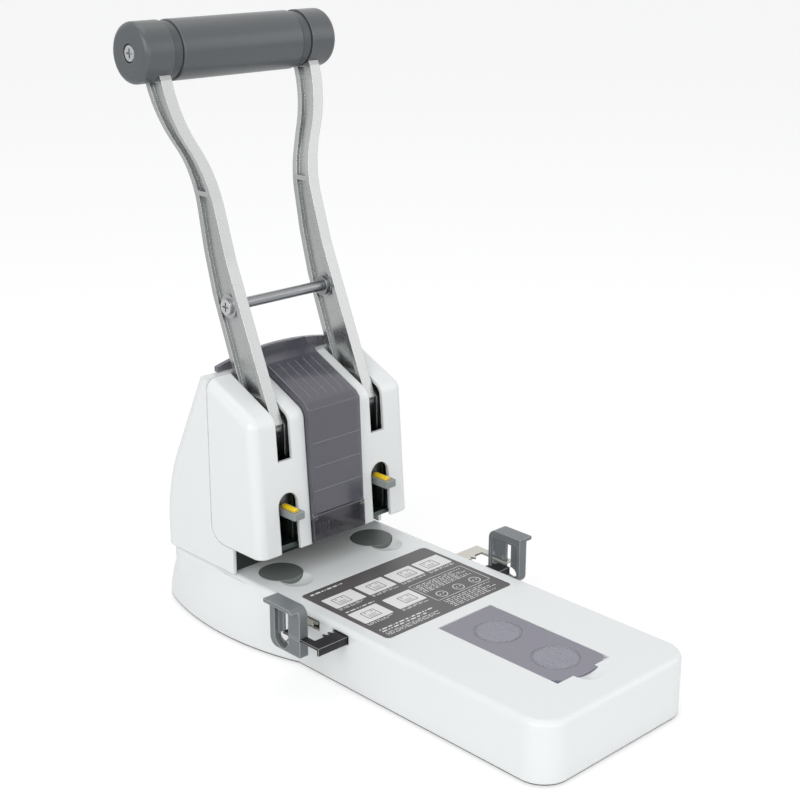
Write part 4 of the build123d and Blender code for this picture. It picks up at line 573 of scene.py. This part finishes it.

# %% [markdown]
# ## Dressing the pieces of the model
# Every node of the model gets one of the finishes.  Both pieces of a left and right pair share a
# finish, so the table below names a pair once.  Only the two racks differ, though they are alike:
# the left one gets a dark finish as painted shade, the right one a bright finish as a painted
# reflection.

# %% Assign finishes
FINISHES = {
    body_white: ("base_cover", "rear_housing", "head_casing"),
    smoky_clear: ("chip_bin", "rear_hood"),
    smoky_dark: ("chip_door",),
    lid_clear: ("store_lid",),
    grip_dark: ("grip_tube", "grip_cap"),
    ring_dark: ("grip_rings",),
    guide_grey: ("fence",),
    lock_grey: ("punch_lock",),
    mark_yellow: ("lock_mark",),
    board_green: ("cutting_board", "spare_boards"),
    inner_black: ("back_stop", "rack_tray", "pivot_bushes"),
    gear_white: ("pinion",),
    label_film: ("instruction_plate",),
    foot_rubber: ("feet",),
    arm_silver: ("lever_arm",),
    frame_steel: ("frame_cheek_outer", "frame_cheek_inner", "frame_rods", "base_plate",
                  "anvil_plate", "punch_guide_plate"),
    tool_steel: ("punch_pin", "ram", "pivot_shaft", "crank_pin", "return_spring"),
    rod_steel: ("tie_rod", "grip_core", "chip_door_pin", "pinion_stud"),
    screw_zinc: ("tie_rod_screws", "grip_screws", "cover_screws", "rack_tray_screws",
                 "fence_screws"),
    rack_painted_shade: ("rack_left",),
    rack_painted_reflection: ("rack_right",),
}


def dress(names, material):
    """Puts one material on each node that has the name, alone or with _left or _right."""
    done = []
    for name in names:
        for node in (name, name + "_left", name + "_right"):
            if node in nodes:
                nodes[node].data.materials.clear()
                nodes[node].data.materials.append(material)
                done.append(node)
    return done


dressed = [node for material, names in FINISHES.items() for node in dress(names, material)]
print("dressed", len(dressed), "of", len(nodes), "left", sorted(set(nodes) - set(dressed)))


# %% [markdown]
# ## Printed film
# The front of the base carries a dark printed film.  Its print is kept plain: pale panels with
# the outline of a sheet and its two holes, and short pale bars where lines of print would be.
# Each mark is a thin layer of ink a few hundredths of a millimetre thick, so that it catches
# light as print does.

# %% Ink shapes
def rounded_outline(x0, x1, y0, y1, radius, steps=6):
    """Corners of a rounded rectangle: four quarter circles joined by straight sides."""
    turn = np.linspace(0, math.pi / 2, steps)
    arcs = []
    for cx, cy, start in ((x1 - radius, y1 - radius, 0), (x0 + radius, y1 - radius, 1),
                          (x0 + radius, y0 + radius, 2), (x1 - radius, y0 + radius, 3)):
        angle = turn + start * math.pi / 2
        arcs.append(np.stack([cx + radius * np.cos(angle), cy + radius * np.sin(angle)], axis=-1))
    return np.concatenate(arcs)


class Ink:
    """Collects flat shapes as thin slabs, and makes them one mesh."""

    def __init__(self, level, thickness):
        self.level, self.thickness = level, thickness
        self.points, self.faces, self.count = [], [], 0

    def slab(self, outline):
        """A slab over a closed outline that runs anticlockwise: top, bottom and side walls."""
        size = len(outline)
        low = np.column_stack([outline, np.full(size, self.level)])
        high = np.column_stack([outline, np.full(size, self.level + self.thickness)])
        start = self.count
        ring = np.arange(size)
        self.points += [low, high]
        self.faces += [(start + ring[::-1]).tolist(), (start + size + ring).tolist()]
        ahead = (ring + 1) % size
        walls = np.stack([ring, ahead, ahead + size, ring + size], axis=-1) + start
        self.faces += walls.tolist()
        self.count += 2 * size

    def band(self, outline, inner):
        """A closed band between two outlines with as many corners, such as a drawn line."""
        size = len(outline)
        start = self.count
        rings = [np.column_stack([curve, np.full(size, height)])
                 for height in (self.level, self.level + self.thickness)
                 for curve in (outline, inner)]
        self.points += rings
        ring = np.arange(size)
        ahead = (ring + 1) % size
        low_out, low_in, high_out, high_in = (start + k * size for k in range(4))
        for a, b in ((low_out, high_out), (high_out, high_in), (high_in, low_in),
                     (low_in, low_out)):
            self.faces += np.stack([a + ring, a + ahead, b + ahead, b + ring], axis=-1).tolist()
        self.count += 4 * size

    def make(self, name):
        """One mesh object of everything collected so far."""
        return mesh_from(name, np.concatenate(self.points), self.faces)


def disc(cx, cy, radius, steps=28):
    """Corners of a circle, anticlockwise."""
    angle = np.linspace(0, 2 * math.pi, steps, endpoint=False)
    return np.stack([cx + radius * np.cos(angle), cy + radius * np.sin(angle)], axis=-1)


# %% Place of the print
plate_low, plate_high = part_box("instruction_plate")
PLATE_TOP = plate_high.z
PLATE_X = 0.5 * (plate_low.x + plate_high.x)
PLATE_REAR = plate_high.y
INK = 0.04 * MM

pale = Ink(PLATE_TOP, INK)
dark = Ink(PLATE_TOP + INK, INK)


def plate_box(x0, x1, near, far):
    """A box given in millimetres across the plate and forward from its rear edge."""
    return (PLATE_X + x0 * MM, PLATE_X + x1 * MM, PLATE_REAR - far * MM, PLATE_REAR - near * MM)


# %% Panels with a sheet in each
# Each panel is x0, x1, near and far for plate_box.
PANELS = ((-50, -25, 14, 29.4), (-22, 1.4, 14, 29.4), (3.8, 26.5, 14, 29.4),
          (28.6, 52, 14, 29.4), (-51, -27.5, 39.8, 56.6), (-22, 1.4, 39.8, 56.6))
PANEL_CORNER = 0.8 * MM
SHEET_SHIFT = 2.2 * MM
SHEET_HALF, SHEET_FRONT, SHEET_REAR = 5.4 * MM, 5.0 * MM, 4.2 * MM
SHEET_CORNER, SHEET_INNER_CORNER, SHEET_LINE = 0.6 * MM, 0.4 * MM, 0.5 * MM
HOLE_ASIDE, HOLE_BEHIND, HOLE_RADIUS, HOLE_LINE = 2.6 * MM, 2.2 * MM, 0.75 * MM, 0.3 * MM
TEXT_HALF, TEXT_SHORTER, TEXT_THICK, TEXT_CORNER = 3.6 * MM, 1.4 * MM, 0.3 * MM, 0.1 * MM
TEXT_START, TEXT_PITCH, TEXT_ROWS = 0.7 * MM, 1.3 * MM, 3


def draw_ring(ink, x, y, radius, line):
    """A circle drawn with a line of the given width, inside the radius."""
    ink.band(disc(x, y, radius), disc(x, y, radius - line))


def draw_sheet(ink, x, y):
    """The outline of a sheet, with two holes near its rear edge and rows of text before them."""
    left, right, front, rear = x - SHEET_HALF, x + SHEET_HALF, y - SHEET_FRONT, y + SHEET_REAR
    ink.band(rounded_outline(left, right, front, rear, SHEET_CORNER),
             rounded_outline(left + SHEET_LINE, right - SHEET_LINE, front + SHEET_LINE,
                             rear - SHEET_LINE, SHEET_INNER_CORNER))
    for hole_x in (x - HOLE_ASIDE, x + HOLE_ASIDE):
        draw_ring(ink, hole_x, y + HOLE_BEHIND, HOLE_RADIUS, HOLE_LINE)
    for row in range(TEXT_ROWS):
        far = y - TEXT_START - row * TEXT_PITCH
        ink.slab(rounded_outline(x - TEXT_HALF, x + TEXT_HALF - TEXT_SHORTER * (row % 2),
                                 far - TEXT_THICK, far, TEXT_CORNER, 3))


for place, panel in enumerate(PANELS):
    x0, x1, y0, y1 = plate_box(*panel)
    pale.slab(rounded_outline(x0, x1, y0, y1, PANEL_CORNER))
    draw_sheet(dark, (x0 + x1) / 2 + (place % 3 - 1) * SHEET_SHIFT, (y0 + y1) / 2)
print("panels", len(PANELS), "plate top", round(PLATE_TOP, 5))

# %% Frame with three rings
FRAME_OUTER, FRAME_OUTER_CORNER = (3.5, 51, 37.2, 64.6), 1.2 * MM
FRAME_INNER, FRAME_INNER_CORNER = (3.9, 50.6, 37.6, 64.2), 0.9 * MM
RING_ACROSS, RING_DOWN = (12.4, 27.4, 42.3), 58.8
RING_RADIUS, RING_LINE = 4.0 * MM, 0.55 * MM
DOT_ASIDE, DOT_RADIUS = 1.4 * MM, 0.6 * MM

pale.band(rounded_outline(*plate_box(*FRAME_OUTER), FRAME_OUTER_CORNER),
          rounded_outline(*plate_box(*FRAME_INNER), FRAME_INNER_CORNER))
for across in RING_ACROSS:
    ring_x, ring_y = PLATE_X + across * MM, PLATE_REAR - RING_DOWN * MM
    draw_ring(pale, ring_x, ring_y, RING_RADIUS, RING_LINE)
    for dot_x in (ring_x - DOT_ASIDE, ring_x + DOT_ASIDE):
        pale.slab(disc(dot_x, ring_y, DOT_RADIUS, 14))


# %% Bars that stand for lines of print
WORD_GAP = 0.9
LEAST_WORD = 1.0
BAR_CORNER_SHARE = 0.35

# Left end, right end, start, rows, pitch, thickness and raggedness, all but rows in millimetres.
TEXT_BLOCKS = (
    (-50, -22, 3.4, 1, 2.0, 1.5, 2.0),
    (-50, -25, 30.6, 2, 1.3, 0.55, 7.0),
    (-22, 1.4, 30.6, 2, 1.3, 0.55, 7.0),
    (3.8, 26.5, 30.6, 2, 1.3, 0.55, 7.0),
    (28.6, 52, 30.6, 2, 1.3, 0.55, 7.0),
    (-51, -27.5, 57.8, 2, 1.3, 0.55, 7.0),
    (-22, 1.4, 57.8, 2, 1.3, 0.55, 7.0),
    (-50, -24, 36.6, 1, 2.0, 1.1, 2.0),
    (-51, -4, 68.0, 2, 2.6, 1.2, 8.0),
    (-51, -4, 73.6, 3, 1.4, 0.55, 6.0),
    (5.5, 49, 40.0, 7, 1.7, 0.6, 9.0),
    (5.5, 49, 66.8, 6, 1.9, 0.6, 12.0),
)


def bars(ink, x0, x1, start, rows, pitch, thick, ragged):
    """Rows of short bars; their lengths and the ragged right edge come from two slow sines."""
    for row in range(rows):
        far = x1 - ragged * (0.5 + 0.5 * math.sin(2.1 * row + x0))
        near_edge = start + row * pitch
        x, word = x0, 0
        while x < far - LEAST_WORD:
            length = 2.6 + 1.9 * math.sin(1.7 * word + 2.9 * row + x0)
            box = plate_box(x, min(x + length, far), near_edge, near_edge + thick)
            ink.slab(rounded_outline(*box, BAR_CORNER_SHARE * thick * MM, 2))
            x += length + WORD_GAP
            word += 1


for block in TEXT_BLOCKS:
    bars(pale, *block)
pale_print = pale.make("plate_print_pale")
dark_print = dark.make("plate_print_dark")
for piece, finish in ((pale_print, label_ink), (dark_print, label_film)):
    piece.data.materials.append(finish)
    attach(piece, "base")
print("print faces", len(pale_print.data.polygons), len(dark_print.data.polygons))


# %% [markdown]
# ## Ribs and hatching on the clear mouldings
# The chip bin has fine level lines across its front, longer ribs on its sloping top, and finger
# ribs on its door; the store lid has fine hatching in two round fields, over the spare boards.
# Each rib is a half-round ridge: its section is half an ellipse carried along a straight path and
# pinched shut at both ends.  The bin's level lines and slope ribs and the lid's hatching get a
# paler finish than the clear plastic they stand on: a painted highlight.

# %% Rib surface
def ridge(starts, ends, up, half_width, height, along=14, across=7):
    """Half-round ridges from starts to ends (n x 3 arrays) standing out along up.

    A point is start + t (end - start) + side cos(a) w e(t) + up sin(a) h e(t), where a sweeps
    half a turn, and over two half widths at both ends e(t) falls to nothing as a quarter of an
    ellipse does.
    """
    up = np.asarray(up, float) / np.linalg.norm(up)
    t = 0.5 - 0.5 * np.cos(np.linspace(0, math.pi, along))
    run = ends - starts
    length = np.linalg.norm(run, axis=1)[:, None]
    side = np.cross(run / length, up)
    distance = np.minimum(t, 1 - t)[None, :] * length
    reach_in = 2 * half_width
    swell = np.sqrt(np.clip(1 - (1 - np.clip(distance / reach_in, 0, 1)) ** 2, 0, 1))
    angle = np.linspace(0, math.pi, across)
    path = starts[:, None, :] + t[None, :, None] * run[:, None, :]
    offset = (side[:, None, None, :] * (half_width * np.cos(angle))[None, None, :, None]
              + up * (height * np.sin(angle))[None, None, :, None])
    points = path[:, :, None, :] + offset * swell[:, :, None, None]
    count = len(starts)
    k, i, j = np.meshgrid(np.arange(count), np.arange(along - 1), np.arange(across - 1),
                          indexing="ij")
    corner = (k * along + i) * across + j
    faces = np.stack([corner, corner + 1, corner + across + 1, corner + across], axis=-1)
    return points.reshape(-1, 3), faces.reshape(-1, 4)


def smooth_piece(name, runs, material, body):
    """One object from several (points, faces) pairs, smooth, riding on a body."""
    points, faces, shift = [], [], 0
    for some_points, some_faces in runs:
        points.append(some_points)
        faces.append(some_faces + shift)
        shift += len(some_points)
    piece = mesh_from(name, np.concatenate(points), np.concatenate(faces).tolist())
    piece.data.polygons.foreach_set("use_smooth", np.ones(len(piece.data.polygons), bool))
    piece.data.materials.append(material)
    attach(piece, body)
    return piece


# %% Front and slope of the bin
bin_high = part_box("chip_bin")[1]
BIN_HALF = bin_high.x
BIN_REAR = 44.3 * MM

# The places below are counted from the hole centres.  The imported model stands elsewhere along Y,
# and the bin's rear edge tells how far it was moved.
SHIFT_Y = bin_high.y - BIN_REAR
BIN_FRONT_LOW = np.array((-13.8 * MM + SHIFT_Y, 58.0 * MM))
BIN_FRONT_HIGH = np.array((-9.5 * MM + SHIFT_Y, 148.6 * MM))
BIN_SLOPE_LOW = np.array((-6.0 * MM + SHIFT_Y, 152.3 * MM))
BIN_SLOPE_HIGH = np.array((32.0 * MM + SHIFT_Y, 170.0 * MM))


def on_line(low, high, share):
    """Points (Y, Z) that lie the given shares of the way from low to high."""
    return low + np.reshape(share, (-1, 1)) * (high - low)


def at_height(low, high, z):
    """Points (Y, Z) of the line from low to high at the given heights."""
    return on_line(low, high, (z - low[1]) / (high[1] - low[1]))


def outward(low, high):
    """Unit vector square to the line from low to high, on the side of -Y or +Z."""
    run = (high - low) / np.linalg.norm(high - low)
    return np.array((0.0, -run[1], run[0]))


def with_x(x, yz):
    """Places (X, Y, Z) from X and (Y, Z), where either may be a single one."""
    return np.column_stack(np.broadcast_arrays(x, *np.transpose(yz)))


print("bin half width", round(BIN_HALF, 4), "shift", round(SHIFT_Y, 4))

# %% Bin ribs
LEVEL_Z = np.array((94.0, 110.0, 126.0)) * MM
LEVEL_X = BIN_HALF - 1.6 * MM
LEVEL_HALF_WIDTH, LEVEL_HEIGHT = 0.30 * MM, 0.20 * MM
SLOPE_X = np.linspace(-0.62, 0.62, 5) * BIN_HALF
SLOPE_START, SLOPE_END = 0.10, 0.94
SLOPE_HALF_WIDTH, SLOPE_HEIGHT = 0.28 * MM, 0.16 * MM

front_out = outward(BIN_FRONT_LOW, BIN_FRONT_HIGH)
level = at_height(BIN_FRONT_LOW, BIN_FRONT_HIGH, LEVEL_Z)
level_lines = ridge(with_x(LEVEL_X, level), with_x(-LEVEL_X, level), front_out,
                    LEVEL_HALF_WIDTH, LEVEL_HEIGHT)
slope_ends = on_line(BIN_SLOPE_LOW, BIN_SLOPE_HIGH, (SLOPE_START, SLOPE_END))
slope_ribs = ridge(with_x(SLOPE_X, slope_ends[0]), with_x(SLOPE_X, slope_ends[1]),
                   outward(BIN_SLOPE_LOW, BIN_SLOPE_HIGH), SLOPE_HALF_WIDTH, SLOPE_HEIGHT)
smooth_piece("bin_ribs", [level_lines, slope_ribs], smoky_rib_highlight, "chip_bin")

# %% Door ribs
DOOR_RIB_Z = np.array((61.0, 71.5)) * MM
DOOR_RIB_X = (-17.0 + 2.4 * np.arange(4)) * MM
DOOR_RIB_HALF_WIDTH, DOOR_RIB_HEIGHT = 0.5 * MM, 0.35 * MM

door_ends = at_height(BIN_FRONT_LOW, BIN_FRONT_HIGH, DOOR_RIB_Z)
door_ribs = ridge(with_x(DOOR_RIB_X, door_ends[0]), with_x(DOOR_RIB_X, door_ends[1]),
                  front_out, DOOR_RIB_HALF_WIDTH, DOOR_RIB_HEIGHT)
smooth_piece("door_ribs", [door_ribs], smoky_dark, "chip_door")

# %% Lid hatching
lid_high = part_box("store_lid")[1]
board_low, board_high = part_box("spare_boards")
BOARD_RADIUS = board_high.x
HATCH_RADIUS = BOARD_RADIUS - 1.2 * MM
HATCH_PITCH = 1.45 * MM
HATCH_FROM, HATCH_TO = -HATCH_RADIUS + 0.9 * MM, HATCH_RADIUS - 0.4 * MM
HATCH_HALF_WIDTH, HATCH_HEIGHT = 0.36 * MM, 0.18 * MM

hatch_y = np.arange(HATCH_FROM, HATCH_TO, HATCH_PITCH)
hatch_half = np.sqrt(HATCH_RADIUS ** 2 - hatch_y ** 2)
hatch_z = np.full(len(hatch_y), lid_high.z)
hatch_rows = []
for centre_y in (board_low.y + BOARD_RADIUS, board_high.y - BOARD_RADIUS):
    hatch_rows.append(ridge(np.column_stack([-hatch_half, centre_y + hatch_y, hatch_z]),
                            np.column_stack([hatch_half, centre_y + hatch_y, hatch_z]),
                            (0, 0, 1), HATCH_HALF_WIDTH, HATCH_HEIGHT))
smooth_piece("lid_hatching", hatch_rows, lid_hatch_highlight, "store_lid")
print("hatch lines", len(hatch_y), "in each field")

# %% [markdown]
# ## Return springs
# A spring is squeezed between the guide plate and the foot of its ram.  A rigid coil would be cut
# through when the ram comes down, so a mesh coil stands for the solid one.  The tube is swept
# round a helix, and its two ends are closed.

# %% Springs
SPRING_TURNS = 8
WIRE_RADIUS = 0.6 * MM
STEPS_PER_TURN, WIRE_SIDES = 20, 8
CAP = np.array([(0, 7, 2, 1), (7, 6, 3, 2), (6, 5, 4, 3)])  # closes a ring of 8 wire sides


def coil(low, high):
    """A tube round a helix that fills the box from low to high.

    The helix is middle + r (cos t, sin t) at a height that rises evenly; round each of its places
    the wire is a ring of w cos(a) outwards and w sin(a) upwards.
    """
    middle = (low + high) / 2
    coil_radius = (high.x - low.x) / 2 - WIRE_RADIUS
    share = np.linspace(0, 1, SPRING_TURNS * STEPS_PER_TURN + 1)
    turn = 2 * math.pi * SPRING_TURNS * share
    out = np.stack([np.cos(turn), np.sin(turn), np.zeros_like(turn)], axis=-1)
    rise = low.z + WIRE_RADIUS + (high.z - low.z - 2 * WIRE_RADIUS) * share
    up = np.array([0.0, 0.0, 1.0])
    line = out * coil_radius + (middle.x, middle.y, 0.0) + rise[:, None] * up
    around = 2 * math.pi * np.arange(WIRE_SIDES) / WIRE_SIDES
    tube = (line[:, None] + WIRE_RADIUS * np.cos(around)[None, :, None] * out[:, None]
            + WIRE_RADIUS * np.sin(around)[None, :, None] * up)
    rows = np.arange(len(turn) - 1)[:, None] * WIRE_SIDES
    ring = np.arange(WIRE_SIDES)
    ahead = (ring + 1) % WIRE_SIDES
    walls = np.stack([rows + ring, rows + ahead, rows + WIRE_SIDES + ahead,
                      rows + WIRE_SIDES + ring], axis=-1).reshape(-1, 4)
    last_ring = (len(turn) - 1) * WIRE_SIDES
    return tube.reshape(-1, 3), np.concatenate([walls, CAP, CAP[:, ::-1] + last_ring])


for side in ("left", "right"):
    low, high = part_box(f"return_spring_{side}")
    spring = smooth_piece(f"coil_{side}", [coil(low, high)], tool_steel, "base")
    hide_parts(f"return_spring_{side}")
    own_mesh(spring)
print("coil height", round(high.z - low.z, 4))

# %% [markdown]
# ## Painted shadow under the skirt
# A thin dark line runs round the foot of the machine, in the shaded gap under the white skirt: it
# is painted shadow, a low dark band that follows the outline of the skirt.  The outline is
# the union of a rounded rectangle and of the swept-out flanks, which are an ellipse cut off at
# the front and rounded off at the rear.  Along each ray from the middle, the farthest place that
# is inside either shape is a corner of the outline.

# %% Outline of the skirt
# Millimetres, with the hole centres at y = 0: half width, front, rear and corner radius of the
# two rounded rectangles.
SKIRT = (65.5, -251.0, 92.3, 18.0)
FLANK = (77.6, -250.0, 90.5, 20.0)
FLANK_CUT = -70
SWELL_HALF_WIDTH, SWELL_MIDDLE, SWELL_HALF_LENGTH = 76.6, 19.4, 128.0
RAY_MIDDLE_Y = -79.0
RAY_REACH = np.linspace(40, 215, 3501)


def rounded(x, y, half, front, rear, radius):
    """True where a place lies inside a rectangle with rounded corners."""
    dx = np.maximum(np.abs(x) - (half - radius), 0)
    dy = np.maximum(np.abs(y - (front + rear) / 2) - ((rear - front) / 2 - radius), 0)
    return np.hypot(dx, dy) <= radius


def inside_skirt(x, y, inset):
    """True where a place in millimetres lies inside the skirt's outline, drawn in by inset."""
    half, front, rear, radius = SKIRT
    body = rounded(x, y, half - inset, front + inset, rear - inset, radius - inset)
    half, front, rear, radius = FLANK
    swell = np.sqrt(np.clip(1 - ((y - SWELL_MIDDLE) / SWELL_HALF_LENGTH) ** 2, 0, 1))
    flank = ((np.abs(x) <= SWELL_HALF_WIDTH * swell - inset) & (y >= FLANK_CUT)
             & rounded(x, y, half - inset, front, rear - inset, radius - inset))
    return body | flank


def skirt_outline(inset, rays=720):
    """The farthest inside place along each of many rays from the middle, in metres."""
    angle = np.linspace(0, 2 * math.pi, rays, endpoint=False)
    x = np.cos(angle)[:, None] * RAY_REACH
    y = RAY_MIDDLE_Y + np.sin(angle)[:, None] * RAY_REACH
    inside = inside_skirt(x, y, inset)
    last = inside.shape[1] - 1 - np.argmax(inside[:, ::-1], axis=1)
    far = RAY_REACH[last]
    return np.stack([np.cos(angle) * far * MM,
                     (RAY_MIDDLE_Y + np.sin(angle) * far) * MM + SHIFT_Y], axis=-1)


# %% Rim
OUTER_INSET, INNER_INSET = 0.35, 2.2
RIM_BOTTOM, RIM_TOP = 1.15 * MM, 1.95 * MM

rim_out, rim_in = skirt_outline(OUTER_INSET), skirt_outline(INNER_INSET)
rim_rows = [np.column_stack([curve, np.full(len(curve), height)])
            for curve, height in ((rim_out, RIM_BOTTOM), (rim_out, RIM_TOP), (rim_in, RIM_TOP),
                                  (rim_in, RIM_BOTTOM))]
# A low dark band in the gap under the skirt: painted shadow.
rim = grid_mesh("skirt_gap_shadow", np.stack(rim_rows), closed=True)
rim.data.materials.append(gap_shadow_grey)
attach(rim, "base")
print("rim corners", len(rim.data.vertices))

# %% [markdown]
# ## Close
# The view layer is brought up to date with the dressed machine.

# %% Finish
bpy.context.view_layer.update()
